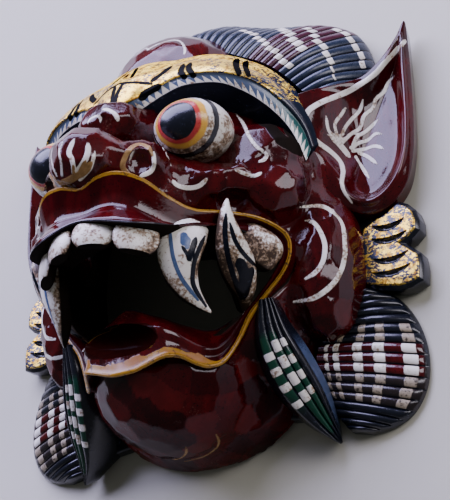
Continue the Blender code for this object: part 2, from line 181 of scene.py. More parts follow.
# %% Build a material out of shades
class Finish:
    """A material with one Principled BSDF."""

    def __init__(self, name, **plain):
        self.material = bpy.data.materials.new(name)
        self.material.use_nodes = True
        self.tree = self.material.node_tree
        self.shader = self.tree.nodes["Principled BSDF"]
        for socket, value in plain.items():
            self.shader.inputs[self.titled(socket)].default_value = value
        self.place = self.node("ShaderNodeTexCoord", {}, {}, "Object")

    def titled(self, name):
        """The shader's own name of a socket: each word starts with a capital."""
        return " ".join(word[0].upper() + word[1:] for word in name.split("_"))

    def node(self, kind, settings, inputs, output=0):
        """A node of any kind: its settings first, then what goes into its sockets."""
        made = self.tree.nodes.new(kind)
        for name, value in settings.items():
            setattr(made, name, value)
        for key, value in inputs.items():
            if isinstance(value, Shade):
                self.tree.links.new(value.socket, made.inputs[key])
            else:
                made.inputs[key].default_value = value
        return Shade(self, made.outputs[output])

    def stored(self, name):
        """A number that the mesh carries at each point."""
        return self.node("ShaderNodeAttribute", {"attribute_name": name}, {}, "Fac")

    def axis(self, name):
        """One object coordinate, in millimetres."""
        return self.node("ShaderNodeSeparateXYZ", {}, {0: self.place}, name) * 1000.0

    def noise(self, size, detail=3.0, stretch=(1, 1, 1), shift=0.0):
        """Cloudy noise from 0 to 1 with features about this many millimetres across."""
        at = self.node("ShaderNodeMapping", {}, {
            "Vector": self.place, "Location": (shift, shift, shift), "Scale": stretch})
        return self.node("ShaderNodeTexNoise", {}, {
            "Vector": at, "Scale": 1000.0 / size, "Detail": detail, "Roughness": 0.6})

    def cells(self, size, feature="F1"):
        """Distance to the nearest of scattered points this many millimetres apart."""
        return self.node("ShaderNodeTexVoronoi", {"feature": feature}, {
            "Vector": self.place, "Scale": 1000.0 / size}, "Distance")

    def mix(self, share, a, b):
        """Colour a where the share is 0, colour b where it is 1."""
        a, b = [(*c, 1.0) if isinstance(c, tuple) else c for c in (a, b)]
        return self.node("ShaderNodeMix", {"data_type": "RGBA"}, {0: share, 6: a, 7: b}, 2)

    def blend(self, share, a, b):
        """Number a where the share is 0, number b where it is 1."""
        return share * (b - a) + a

    def line(self, name, soft=0.45):
        """1 inside the strokes stored under a name, and 0 beyond their edge."""
        return self.stored(name).below(0.0, soft)

    def show(self, paint, dull=None, **more):
        """Feeds the shader a paint: a colour, a roughness and a height in millimetres.

        The dull share mixes in a second shader of the same colour that mirrors nothing.
        """
        colour, rough, height = paint
        for name, value in {"base_color": colour, "roughness": rough, **more}.items():
            self.tree.links.new(value.socket, self.shader.inputs[self.titled(name)])
        if height is not None:
            bump = self.node("ShaderNodeBump", {}, {
                "Height": height, "Strength": 1.0, "Distance": MM})
            self.tree.links.new(bump.socket, self.shader.inputs["Normal"])
        if dull is not None:
            matt = self.node("ShaderNodeBsdfPrincipled", {}, {
                "Base Color": colour, "Roughness": 0.9, "Specular IOR Level": 0.0})
            both = self.node("ShaderNodeMixShader", {}, {
                0: dull.least(1.0), 1: Shade(self, self.shader.outputs[0]), 2: matt})
            surface = self.tree.nodes["Material Output"].inputs["Surface"]
            self.tree.links.new(both.socket, surface)
        print("finish:", self.material.name, len(self.tree.nodes), "nodes")
        return self.material


print("node kinds are made by one method:", Finish.node.__name__)

# %% [markdown]
# ## Tools for carved forms
#
# Carving has few true circles. Most forms here are either soft balls that melt into each other or
# a section swept along a curve. A swept form starts from a grid, which is bent over the sections,
# so that it gets a UV map and stored distances for free. Its long edges are then merged.


# %% Smooth curves through named points
def mm(points):
    """Points given in millimetres, as vectors in metres."""
    return [Vector(point) * MM for point in points]


def rounded(points, steps, closed=False):
    """Points of a smooth curve through the given ones."""
    count = len(points)
    out = []
    for i in range(count if closed else count - 1):
        if closed:
            a, b, c, d = [points[(i + k) % count] for k in (-1, 0, 1, 2)]
        else:
            b, c = points[i], points[i + 1]
            a = points[i - 1] if i > 0 else b * 2 - c
            d = points[i + 2] if i + 2 < count else c * 2 - b
        for step in range(steps):
            t = step / steps
            out.append(0.5 * (b * 2 + (c - a) * t + (a * 2 - b * 5 + c * 4 - d) * t**2
                              + (b * 3 - a - c * 3 + d) * t**3))
    if not closed:
        out.append(points[-1].copy())
    return out


print("points on a smooth curve through two:", len(rounded(mm([(1, 0, 0), (0, 1, 0)]), 8)))


# %% Make sections, fill in between them, and measure along them
def section(corners, soft, steps):
    """A closed section that is round over its first corners and straight elsewhere."""
    out = rounded(corners[:soft], steps)[:-1]
    rest = corners[soft - 1:] + [corners[0]]
    for a, b in zip(rest, rest[1:]):
        out += [a.lerp(b, k / steps) for k in range(steps)]
    return out


def smooth_rings(rings, steps, closed=False):
    """More rings between the given ones, each point on its own smooth curve."""
    lines = [rounded([ring[k] for ring in rings], steps, closed)
             for k in range(len(rings[0]))]
    return [list(ring) for ring in zip(*lines)]


def lengths(points, start):
    """Millimetres along a closed section from one of its points, less than 0 behind it."""
    count = len(points)
    out = [0.0] * count
    for way in (1, -1):
        run = 0.0
        for k in range(1, count // 2 + 1):
            a = points[(start + way * (k - 1)) % count]
            b = points[(start + way * k) % count]
            run += (a - b).length / MM
            out[(start + way * k) % count] = way * run
    return out


square = section(mm([(0, 0, 0), (1, 0, 0), (1, 1, 0), (0, 1, 0)]), 2, 5)
print("half way round a square of 1 mm:", round(-min(lengths(square, 0)), 1), "mm")


# %% Bend a grid over rings
def skin(rings, values=None, closed=False):
    """A tube over rings of equal count, with a flat end at each side unless it closes."""
    values = values or {}
    columns = len(rings) - (0 if closed else 1)
    rows = len(rings[0])
    bm = bmesh.new()
    uv = bm.loops.layers.uv.new("UVMap")
    kept = {name: bm.verts.layers.float.new(name) for name in values}
    bmesh.ops.create_grid(bm, x_segments=columns, y_segments=rows, size=0.5)
    for vert in bm.verts:
        i = round((vert.co.x + 0.5) * columns)
        j = round((vert.co.y + 0.5) * rows)
        for loop in vert.link_loops:
            loop[uv].uv = (i / columns, j / rows)
        for name, layer in kept.items():
            vert[layer] = values[name][i % len(rings)][j % rows]
        vert.co = rings[i % len(rings)][j % rows]
    bmesh.ops.remove_doubles(bm, verts=bm.verts, dist=1e-7)
    ends = [edge for edge in bm.edges if edge.is_boundary]
    bmesh.ops.holes_fill(bm, edges=ends, sides=0)
    bmesh.ops.recalc_face_normals(bm, faces=bm.faces)
    return bm


def rod_rings(path, sizes, origin, sides, steps):
    """Oval sections along a path. Sizes are half width and half height in millimetres."""
    smooth = rounded(mm(path), steps)
    wide = rounded([Vector((*size, 0.0)) * MM for size in sizes], steps)
    rings = []
    for i, (point, size) in enumerate(zip(smooth, wide)):
        ahead = smooth[min(i + 1, len(smooth) - 1)] - smooth[max(i - 1, 0)]
        side = ahead.cross(point - Vector(origin) * MM).normalized()
        rise = side.cross(ahead).normalized()
        turns = [math.tau * (k + 0.5) / sides for k in range(sides)]
        rings.append([point + side * (math.cos(a) * size.x) + rise * (math.sin(a) * size.y)
                      for a in turns])
    return rings


trial = rod_rings([(0, 0, 0), (0, 9, 0)], [(1, 1), (1, 1)], (0, 0, -9), sides=12, steps=4)
print("a short rod has", len(trial), "rings of", len(trial[0]), "points")


# %% Shape balls, and mirror and gather forms
def set_in(bm, centre, radii, turn):
    """Scales a unit form to its radii, turns it by degrees and moves it to its centre."""
    spin = Euler([math.radians(angle) for angle in turn]).to_matrix().to_4x4()
    size = Matrix.Diagonal((*[radius * MM for radius in radii], 1.0))
    place = Matrix.Translation(Vector(centre) * MM)
    bmesh.ops.transform(bm, matrix=place @ spin @ size, verts=bm.verts)


def ball(centre, radii, turn=(0, 0, 0), detail=48, squareness=1.0):
    """An ellipsoid in millimetres. With a squareness under 1 it grows corners."""
    bm = bmesh.new()
    bmesh.ops.create_uvsphere(bm, u_segments=detail, v_segments=detail // 2, radius=1.0)
    for vert in bm.verts:
        vert.co = [math.copysign(abs(c) ** squareness, c) for c in vert.co]
    set_in(bm, centre, radii, turn)
    return bm


def as_mesh(name, bm):
    """Turns a bmesh into the data of a mesh, and frees it."""
    data = bpy.data.meshes.new(name)
    bm.to_mesh(data)
    bm.free()
    return data


def gather(bm, part):
    """Moves the shape of one bmesh into another."""
    data = as_mesh("part", part)
    bm.from_mesh(data)
    bpy.data.meshes.remove(data)


def both_sides(bm):
    """Adds the mirror image at left."""
    geometry = [*bm.verts, *bm.edges, *bm.faces]
    bmesh.ops.mirror(bm, geom=geometry, axis="X", merge_dist=1e-7)
    bmesh.ops.recalc_face_normals(bm, faces=bm.faces)
    return bm


def other_half(rings):
    """The mirror image of some rings."""
    return [[Vector((-p.x, p.y, p.z)) for p in ring] for ring in rings]


trial = both_sides(ball((5, 0, 0), (2, 2, 2)))
print("a ball and its mirror image:", len(trial.verts), "points")
trial.free()

# %% Turn a form into a piece
pieces = []


def piece(name, bm, finish, angle=35):
    """Turns a bmesh into a shown piece with one finish, in the model's own frame.

    Edges sharper than the angle, in degrees, stay crisp.
    """
    bmesh.ops.translate(bm, verts=bm.verts, vec=(0.0, -CENTRE_Y * MM, 0.0))
    data = as_mesh(name, bm)
    data.materials.append(finish)
    data.shade_smooth()
    data.set_sharp_from_angle(angle=math.radians(angle))
    made = put(name, data)
    pieces.append(made)
    print("piece:", name, len(data.polygons), "faces")
    return made


def settle(made):
    """Replaces a piece's mesh by what its modifiers give, and drops them."""
    bpy.context.view_layer.update()
    graph = bpy.context.evaluated_depsgraph_get()
    data = bpy.data.meshes.new_from_object(made.evaluated_get(graph))
    made.modifiers.clear()
    made.data = data
    data.shade_smooth()


print("pieces so far:", len(pieces))

# %% [markdown]
# ## Numbers that a piece carries
#
# A finish can follow the carving only if the mesh tells it where it is. So each point may store
# plain numbers, such as its distance from an edge. They are worked out for all points at once,
# as rows of an array, because a mask has a hundred thousand of them.

# %% Read and store numbers on a piece
def store(made, name, numbers):
    """Stores one number at each point of a piece."""
    layer = made.data.attributes.get(name)
    layer = layer or made.data.attributes.new(name, "FLOAT", "POINT")
    layer.data.foreach_set("value", np.asarray(numbers, np.float32))


def read(made, name):
    """The stored numbers of a piece."""
    numbers = np.empty(len(made.data.vertices), np.float32)
    made.data.attributes[name].data.foreach_get("value", numbers)
    return numbers


def rows(made, what):
    """A vector of each point of a piece, one row each."""
    numbers = np.empty(len(made.data.vertices) * 3, np.float32)
    made.data.vertices.foreach_get(what, numbers)
    return numbers.reshape(-1, 3).astype(float)


def places(made):
    """The points of a piece in millimetres."""
    return rows(made, "co") / MM


def move(made, points):
    """Gives the points of a piece new places, in metres."""
    made.data.vertices.foreach_set("co", points.astype(np.float32).ravel())
    made.data.update()


def ray_tree(made):
    """What a line of sight is tested against."""
    return BVHTree.FromPolygons([v.co for v in made.data.vertices],
                                [p.vertices for p in made.data.polygons])


print("numbers are stored as:", np.float32.__name__)

# %% [markdown]
# ## Brush strokes
#
# The white, tan and black lines are painted by hand over the lacquer. Each stroke is a short row
# of pixels in the photograph with a width. The line of sight through each pixel meets the carved
# surface, and every point of the mesh stores how far it lies outside the nearest stroke, in
# millimetres. The shader then draws a crisp edge where that number passes zero.


# %% Lay strokes on a surface
FAR_OFF = 6.0


def lay_strokes(made, name, strokes, mirrored=True, ends=(0.45, 0.45)):
    """Stores the distance to the edge of the nearest stroke. A stroke is (width, pixels).

    The two ends give the share of the width that is left where a stroke starts and stops.
    """
    points = places(made)
    if mirrored:
        points[:, 0] = np.abs(points[:, 0])
    tree = ray_tree(made)
    nearest = np.full(len(points), FAR_OFF)
    missed = 0
    for width, pixels in strokes:
        line = rounded([Vector((*pixel, 0.0)) for pixel in pixels], 6)
        hits = [tree.ray_cast(CAMERA_AT, sight(p.x, p.y))[0] for p in line]
        missed += hits.count(None)
        hits = np.array([list(hit / MM) for hit in hits if hit is not None])
        if len(hits) < 2:
            continue
        low, high = hits.min(0) - FAR_OFF, hits.max(0) + FAR_OFF
        near = np.flatnonzero(((points > low) & (points < high)).all(1))
        share = np.linspace(0.0, 1.0, len(hits))
        for k in range(len(hits) - 1):
            a, b = hits[k], hits[k + 1]
            ahead = b - a
            t = np.clip((points[near] - a) @ ahead / max(ahead @ ahead, 1e-9), 0, 1)
            away = np.linalg.norm(points[near] - a - t[:, None] * ahead, axis=1)
            at = share[k]
            thin = min(1.0, ends[0] + 4.0 * at, ends[1] + 4.0 * (1.0 - at))
            nearest[near] = np.minimum(nearest[near], away - width / 2 * thin)
    if made.data.attributes.get(name):
        nearest = np.minimum(nearest, read(made, name))
    store(made, name, nearest)
    print("strokes:", name, "on", made.name, len(strokes), "missed points", missed)


print("strokes reach", FAR_OFF, "mm")

# %% [markdown]
# ## Paints
#
# Every finish on the mask starts from a few paints that are mixed here: a deep maroon lacquer
# with a slow mottle and fine pits, a cream enamel that has browned, a blue-black ink, a dull dark
# paint that lays painted shade in the deepest places, a worn gold leaf and an ochre. Each gives a
# colour, a roughness and a height, so that a finish can lay one over another with a mask.


# %% Mix the lacquer and the enamel
def lacquer(f):
    """Deep maroon lacquer."""
    mottle = f.noise(38.0, 4.0)
    streak = f.noise(9.0, 4.0, (1.0, 0.28, 1.0), 3.1)
    pits = f.noise(1.1, 2.0, shift=7.7)
    colour = f.mix(mottle.above(0.5, 0.5), (0.014, 0.0008, 0.0014), (0.050, 0.0017, 0.0028))
    colour = f.mix(streak.above(0.56, 0.2) * 0.5, colour, (0.095, 0.0032, 0.0042))
    colour = f.mix(pits.below(0.36, 0.05) * 0.8, colour, (0.003, 0.0008, 0.001))
    scuffs = f.noise(16.0, 5.0, shift=21.0).above(0.64, 0.04) * pits.above(0.58, 0.08)
    colour = f.mix(scuffs * 0.4, colour, (0.09, 0.030, 0.018))
    rough = mottle * 0.08 + 0.045 + scuffs * 0.2
    height = streak * 0.16 + pits * 0.030 + f.cells(10.0, "SMOOTH_F1") * 0.25
    return colour, rough, height


def enamel(f, browning):
    """Cream enamel. Browning is a share that adds brown in blotches: patina, and on the teeth also
    painted shade.
    """
    cloud = f.noise(7.0, 5.0, shift=1.3)
    grit = f.noise(1.3, 3.0, shift=4.4)
    colour = f.mix(cloud, (0.80, 0.78, 0.70), (0.58, 0.54, 0.42))
    stain_and_shade = browning + (cloud - 0.5) * 2.4 + (grit - 0.5) * 1.8
    colour = f.mix(stain_and_shade.above(0.42, 0.35) * 0.85, colour, (0.20, 0.105, 0.035))
    colour = f.mix(stain_and_shade.above(0.75, 0.30) * 0.9, colour, (0.022, 0.010, 0.005))
    return colour, stain_and_shade * 0.2 + 0.20, grit * 0.06 + cloud * 0.10


print("bright paints:", lacquer.__name__, enamel.__name__)


# %% Mix the dark paints
def ink(f):
    """Blue-black lacquer that has rubbed grey on the high spots."""
    cloud = f.noise(12.0, 4.0, shift=9.0)
    rub = f.noise(2.0, 4.0, shift=2.0)
    colour = f.mix(cloud, (0.0025, 0.003, 0.004), (0.006, 0.008, 0.014))
    colour = f.mix(rub.above(0.66, 0.10) * 0.4, colour, (0.04, 0.05, 0.08))
    return colour, rub * 0.22 + 0.10, rub * 0.06


def dark_paint_and_shade(f):
    """Dull dark paint for painted shade in the deepest places, partly over real dark paint."""
    cloud = f.noise(10.0, 4.0, shift=17.0)
    colour = f.mix(cloud, (0.0030, 0.0024, 0.0020), (0.012, 0.008, 0.005))
    return colour, cloud * 0.1 + 0.62, cloud * 0.2


print("dark paints:", ink.__name__, dark_paint_and_shade.__name__)


# %% Mix the gold and the ochre, and lay paint over paint
def gold(f, wear):
    """Gold leaf. Wear from 0 to 1 shows more of the dark ground in flecks."""
    cloud = f.noise(9.0, 4.0, shift=5.0)
    fleck = f.noise(1.7, 4.0, (1.0, 1.5, 1.0), 8.0)
    tear = f.noise(6.5, 5.0, shift=12.0)
    leaf = f.mix(cloud.above(0.5, 0.4), (0.80, 0.49, 0.036), (1.0, 0.72, 0.12))
    leaf = f.mix(f.noise(3.0, 3.0, shift=15.0).above(0.55, 0.15) * 0.8, leaf, (0.17, 0.050, 0.006))
    bare = (fleck + tear * 0.6 + wear * 0.34).above(0.93, 0.05)
    colour = f.mix(bare, leaf, (0.010, 0.015, 0.035))
    return colour, bare * -0.12 + 0.34, (1.0 - bare) * 0.08 + fleck * 0.16, 1.0 - bare


def ochre(f):
    """Yellow ochre paint with dirt in it."""
    dirt = f.noise(2.2, 4.0, shift=6.0)
    cloud = f.noise(11.0, 3.0, shift=2.5)
    colour = f.mix(cloud, (0.23, 0.105, 0.004), (0.36, 0.19, 0.012))
    colour = f.mix(dirt.above(0.60, 0.12) * 0.8, colour, (0.030, 0.014, 0.005))
    return colour, dirt * 0.15 + 0.16, dirt * 0.05


def over(f, mask, under, top):
    """Lays one paint over another where the mask is 1."""
    return (f.mix(mask, under[0], top[0]), f.blend(mask, under[1], top[1]),
            under[2] + mask * 0.12)


print("yellow paints:", gold.__name__, ochre.__name__)

# %% [markdown]
# ## Measures of the block
#
# These are the numbers of the part's source, in millimetres from the middle of the flat back. The
# model was centred between crown and chin afterwards, so every piece is moved down by the same
# nine millimetres when it is made. The lips are given as stations: the gilt edge, the fat roll
# and the rim of the mouth, from under the nose, round the corner, to the middle of the chin.

# %% Name the measures
CENTRE_Y = 9
HOLLOWS = [((0, 2, 0), (75, 108, 72)), ((0, -14, 50), (35, 24, 50)),
           ((0, -66, 6), (44, 32, 50))]
SCOOP = ((-2, -74.0, 88.5), (24.0, 8.4, 14.5), (0, 0, -6))
EYE_CENTRE, EYE_RADII = (40, 27.7, 84), (20, 15.2, 20)
LIP_EDGE = mm([
    (0, -9, 120), (11, -6, 121), (22, -6, 119), (31, -9.5, 112), (37, -15, 100),
    (43.5, -18.5, 89), (53, -17.5, 78), (65, -18, 65), (73, -23, 53), (73.5, -31, 48.5),
    (69.5, -40.5, 48), (60.5, -51.5, 49.5), (52.5, -61, 51), (47.5, -71, 52), (43.5, -79, 54),
    (40, -84.5, 57), (35.5, -87, 62), (32, -86.5, 67), (28, -84.5, 74), (23, -85, 80),
    (14, -87.5, 81), (7, -89.5, 81.5), (0, -90, 82)])
LIP_ROLL = mm([
    (0, -24, 124), (12, -24.5, 124), (23, -25.5, 122), (33, -28, 115), (41, -30.5, 104),
    (48, -26.5, 93), (54, -24.5, 82), (63, -22.5, 67.5), (69, -26.5, 56), (70, -33, 51.5),
    (65.5, -41, 51), (57.5, -51, 51), (49.5, -59.5, 52.5), (45, -67, 54.5), (41, -73.5, 56.5),
    (37, -77, 60), (33, -77, 65.5), (29.5, -75, 72.5), (26, -72.5, 79), (21, -70.5, 83.5),
    (14, -69.5, 85), (7, -68.5, 85.5), (0, -68, 85.5)])
LIP_RIM = mm([
    (0, -29, 120), (13, -31, 120), (25, -34, 118), (34, -34, 111), (39, -32, 101),
    (44.5, -28, 89), (51.5, -26, 78), (60.5, -26.5, 64), (65.5, -30, 53), (66, -35.5, 48.5),
    (61.5, -42.5, 48), (54.5, -50, 48), (47, -57, 48), (41, -60, 49), (37, -63, 51),
    (33.5, -65.5, 54), (30, -66.5, 58), (26, -66, 64), (22, -65, 70), (17, -63, 75),
    (11, -61, 78), (6, -58.5, 79), (0, -57, 79.5)])
print("lip stations:", len(LIP_EDGE), len(LIP_ROLL), len(LIP_RIM))

# %% [markdown]
# ## The cutting forms
#
# A real mask is hollowed with gouges from behind until it is a finger thick, and the mouth is sawn
# and carved through. Here the hollow is three overlapping egg shapes and the mouth is a prism,
# which a Boolean takes away. A block under the floor line saws the back flat, and a small egg
# scoops the lower lip. They are removed from the scene once every piece is cut.

# %% Start the cutting forms with the hollow
cutting_tools = {}


def cutter(name, bm):
    """Keeps a bmesh as a form that pieces can be cut with."""
    bmesh.ops.recalc_face_normals(bm, faces=bm.faces)
    bmesh.ops.translate(bm, verts=bm.verts, vec=(0.0, -CENTRE_Y * MM, 0.0))
    cutting_tools[name] = put(name, as_mesh(name, bm))


def cut(made, names):
    """Takes the named forms away from a piece, and keeps its smooth shading."""
    for name in names:
        step = made.modifiers.new(name, "BOOLEAN")
        step.operation, step.solver = "DIFFERENCE", "MANIFOLD"
        step.object = cutting_tools[name]
    settle(made)
    made.data.set_sharp_from_angle(angle=math.radians(40))


for number, (middle, radii) in enumerate(HOLLOWS):
    cutter(f"hollow_{number}", ball(middle, radii, detail=72))
HOLLOW_NAMES = list(cutting_tools)
print("hollow:", len(HOLLOW_NAMES), "egg shapes")

# %% Cut the mouth's prism, the sawn back and the scoop of the lip
MOUTH_MIDDLE_Y, MOUTH_ROOM = -45 * MM, 4 * MM
MOUTH_FOOT, MOUTH_TALL = 30 * MM, 120 * MM
SAWN_BLOCK, SCOOP_ROOM = 0.6, 2.5

half_mouth = []
for point in LIP_RIM:
    away = (point - Vector((0.0, MOUTH_MIDDLE_Y, point.z))).normalized() * MOUTH_ROOM
    half_mouth.append((max(0.0, point.x + away.x), point.y + away.y, MOUTH_FOOT))
mouth_outline = half_mouth + [(-x, y, z) for x, y, z in reversed(half_mouth) if x > 0]
bm = bmesh.new()
face = bm.faces.new([bm.verts.new(point) for point in mouth_outline])
raised = bmesh.ops.extrude_face_region(bm, geom=[face])["geom"]
lifted = [item for item in raised if isinstance(item, bmesh.types.BMVert)]
bmesh.ops.translate(bm, verts=lifted, vec=(0, 0, MOUTH_TALL))
cutter("mouth", bm)

bm = bmesh.new()
bmesh.ops.create_cube(bm, size=SAWN_BLOCK)
bmesh.ops.translate(bm, verts=bm.verts, vec=(0, 0, -SAWN_BLOCK / 2))
cutter("floor_plane", bm)

cutter("lip_scoop", ball(*SCOOP))
cutter("scoop_room", ball(SCOOP[0], [radius + SCOOP_ROOM for radius in SCOOP[1]], SCOOP[2]))
print("cutting forms:", ", ".join(cutting_tools))

# %% [markdown]
# ## The bare back
#
# Nobody paints the inside of a mask. It keeps the grain of the wood and the short marks of the
# gouge. A piece can't tell its back from its front by direction alone, so each point stores how
# far it lies outside the hollow's egg shapes, and the finish turns to wood where that is nearly
# nothing.

# %% Tell the bare back from the painted front
BARE_WITHIN = 0.35


def mark_hollow(made):
    """Stores how far each point lies outside the hollow, in millimetres."""
    at = places(made) + (0, CENTRE_Y, 0)
    nearest = np.full(len(at), 99.0)
    for middle, radii in HOLLOWS:
        reach = np.linalg.norm((at - middle) / radii, axis=1).clip(0.05)
        away = (1 - 1 / reach) * np.linalg.norm(at - middle, axis=1)
        nearest = np.minimum(nearest, away)
    store(made, "from_hollow", nearest)


def bare_back(f, painted):
    """Unpainted wood with gouge marks wherever a piece meets the hollow."""
    grain = f.noise(2.6, 5.0, (1.0, 0.06, 1.0), 4.0)
    dust = f.noise(14.0, 4.0, shift=30.0)
    colour = f.mix(grain, (0.050, 0.026, 0.013), (0.115, 0.066, 0.034))
    colour = f.mix(dust.above(0.5, 0.3) * 0.5, colour, (0.030, 0.018, 0.011))
    wood = (colour, grain * 0.1 + 0.62, grain * 0.35 + f.cells(13.0, "SMOOTH_F1") * 1.2)
    return over(f, f.stored("from_hollow").below(BARE_WITHIN, 0.3), painted, wood)


def hollow_out(made, others=()):
    """Cuts the hollow out of a piece, and marks where its wood is bare."""
    cut(made, [*others, *HOLLOW_NAMES])
    mark_hollow(made)


print("bare wood lies within, mm:", BARE_WITHIN)

# %% [markdown]
# ## Chisel marks
#
# The carver leaves a flat facet at each stroke. The lacquer mirrors them as crisp patches of sky,
# and it lies thicker on some than on others. Points are scattered over a skin about a finger's
# width apart, each takes the part of the skin that is nearest to it, and that part is pressed
# towards its own mean plane. Each facet also keeps a random tone, which the finish reads.

# %% Press facets into a skin
SCATTER_SEED, TONE_SEED = 11, 5


def chisel(made, spacing, strength, most=0.9):
    """Flattens a smooth skin into facets this many millimetres across."""
    at = places(made)
    facing = rows(made, "normal")
    cells = {}
    seeds = []
    for k in np.random.default_rng(SCATTER_SEED).permutation(len(at)):
        x, y, z = at[k]
        home = (int(x // spacing), int(y // spacing), int(z // spacing))
        near = [cells.get((home[0] + i, home[1] + j, home[2] + m)) for i in (-1, 0, 1)
                for j in (-1, 0, 1) for m in (-1, 0, 1)]
        if any(o is not None and (at[k] - at[o]) @ (at[k] - at[o]) < spacing**2
               for o in near):
            continue
        cells[home] = k
        seeds.append(k)
    tree = KDTree(len(seeds))
    for index, k in enumerate(seeds):
        tree.insert(at[k], index)
    tree.balance()
    owner = np.array([tree.find(point)[1] for point in at])
    mean_normal = np.zeros((len(seeds), 3))
    np.add.at(mean_normal, owner, facing)
    mean_normal /= np.linalg.norm(mean_normal, axis=1, keepdims=True).clip(1e-9)
    mean_point = np.zeros((len(seeds), 3))
    np.add.at(mean_point, owner, at)
    mean_point /= np.bincount(owner, minlength=len(seeds))[:, None].clip(1)
    normal = mean_normal[owner]
    drop = ((mean_point[owner] - at) * normal).sum(1)
    drop = np.clip(drop, -most, most) * strength
    move(made, (at + normal * drop[:, None]) * MM)
    store(made, "facet_tone", np.random.default_rng(TONE_SEED).random(len(seeds))[owner])
    print("facets:", made.name, len(seeds))


print("seeds of the scatter and of the tones:", SCATTER_SEED, TONE_SEED)

# %% [markdown]
# ## The face block
#
# The brow, nose, cheeks and jaw of a barong are round masses that run into each other without a
# line. Overlapping egg shapes give the masses, and a voxel Remesh melts them into one skin, much
# as a carver rounds one gouge cut into the next. A little smoothing takes off the seams. The
# cheeks and nostrils are mirrored before they melt, so the nose and chin stay seamless.

# %% Melt the rounded forms into one block
MIDDLE_FORMS = {
    "skull": ((0, 2, 0), (86, 119, 84)), "forehead": ((0, 83, 36), (40, 36, 38)),
    "muzzle": ((0, -2, 56), (50, 33, 59)), "nose": ((0, 7, 115.5), (19, 16.5, 19)),
    "bridge": ((0, 34.5, 96.5), (18.5, 13.5, 17)), "bridge_root": ((0, 34, 78), (22, 22, 20)),
    "chin": ((0, -82, 34), (43, 36.2, 43)), "jaw": ((0, -72, 6), (62, 47, 40)),
}
SIDE_FORMS = {
    "nose_saddle": ((14, 7, 106), (15, 9.5, 13)), "nostril": ((23, 5.7, 101), (12.5, 12, 13)),
    "cheekbone": ((66, 1, 53), (18, 16, 17)), "cheek": ((79, -28.5, 20), (18, 41.5, 24)),
    "temple": ((70, 20, 26), (16, 46, 22)), "outer_lid": ((57, 18, 50), (25, 22, 24)),
}
UNDER_EYE = [(20, 2, 92), (32, 4, 86), (45, 0, 79), (57, 3, 71), (70, 5, 58), (80, 8, 46)]
UNDER_EYE_SIZES = [(7, 8), (9, 8), (9, 9), (8, 8), (8, 8), (7, 7)]
BLOCK_GRAIN, SKIN_GRAIN = 1.9 * MM, 1.39 * MM

block = bmesh.new()
for middle, radii in MIDDLE_FORMS.values():
    gather(block, ball(middle, radii, detail=72))
for middle, radii in SIDE_FORMS.values():
    gather(block, both_sides(ball(middle, radii)))
fold = rod_rings(UNDER_EYE, UNDER_EYE_SIZES, origin=(0, 0, -70), sides=28, steps=8)
gather(block, both_sides(skin(fold)))
print("forms melted:", len(MIDDLE_FORMS) + 2 * len(SIDE_FORMS) + 2)

# %% Finish for the block: lacquer, painted lines, painted shade under the brow and in the mouth, bare back
f = Finish("maroon_lacquer", specular_IOR_level=0.36)
red, white, dark = lacquer(f), enamel(f, 0.18), dark_paint_and_shade(f)
tone = f.stored("facet_tone")
on_chin = f.axis("Y").below(-62.0, 40.0) * 0.6 + 0.4
thick = f.mix(tone.below(0.32, 0.2) * on_chin * 0.6, red[0], (0.009, 0.0008, 0.0012))
thin = f.mix(tone.above(0.66, 0.2) * on_chin * 0.42, thick, (0.095, 0.0068, 0.0060))
red = (thin, red[1] + tone * 0.04, red[2])
tan = (f.mix(f.noise(4.0), (0.13, 0.060, 0.016), (0.42, 0.26, 0.10)), *white[1:])
# Painted shade: black strokes under the overhanging brow.
shade_under_brow = f.line("black_line", 0.5)
skin_now = over(f, shade_under_brow, red, dark)
skin_now = over(f, f.line("white_line"), skin_now, white)
skin_now = over(f, f.line("tan_line", 0.5), skin_now, tan)
# The cut walls of the mouth are painted dark: partly black paint, partly painted shade inside the
# mouth.
mouth_black_and_shade = f.stored("from_mouth").below(2.5, 1.0)
skin_now = over(f, mouth_black_and_shade, skin_now, dark)
skin_now = bare_back(f, skin_now)
handled = f.axis("Y").below(-88.0, 34.0) * f.axis("Z").below(62.0, 30.0)
face_finish = f.show(skin_now, dull=(shade_under_brow + mouth_black_and_shade) * 0.9 + handled * 0.62)

# %% Cut the block open
def melt(made, grain):
    """Makes one even skin of cubes this large."""
    step = made.modifiers.new("melt", "REMESH")
    step.mode, step.voxel_size = "VOXEL", grain


def soften(made, factor, iterations):
    """Smooths the skin, and drops all the modifiers."""
    step = made.modifiers.new("soften", "SMOOTH")
    step.factor, step.iterations = factor, iterations
    settle(made)


face = piece("carved_face", block, face_finish)
melt(face, BLOCK_GRAIN)
soften(face, 0.5, 6)
cut(face, ["mouth", *HOLLOW_NAMES, "floor_plane", "scoop_room"])
melt(face, SKIN_GRAIN)
soften(face, 0.5, 3)
mark_hollow(face)
chisel(face, spacing=9.5, strength=0.92)
soften(face, 0.35, 1)
print("face block:", len(face.data.polygons), "faces")

# %% Measure how far each point lies outside the mouth's outline
at = places(face) + (0, CENTRE_Y, 0)
outline = np.array(mouth_outline)[:, :2] / MM
inside = np.zeros(len(at), bool)
away = np.full(len(at), 99.0)
for a, b in zip(outline, np.roll(outline, -1, axis=0)):
    along_edge = np.clip(((at[:, :2] - a) @ (b - a)) / ((b - a) @ (b - a)), 0, 1)
    gap = np.linalg.norm(at[:, :2] - a - along_edge[:, None] * (b - a), axis=1)
    away = np.minimum(away, gap)
    spans = (a[1] > at[:, 1]) != (b[1] > at[:, 1])
    rise = b[1] - a[1] if b[1] != a[1] else 1e-9
    inside ^= spans & (at[:, 0] < (b[0] - a[0]) * (at[:, 1] - a[1]) / rise + a[0])
store(face, "from_mouth", np.where(inside, -away, away))
print("points in the mouth:", int(inside.sum()))

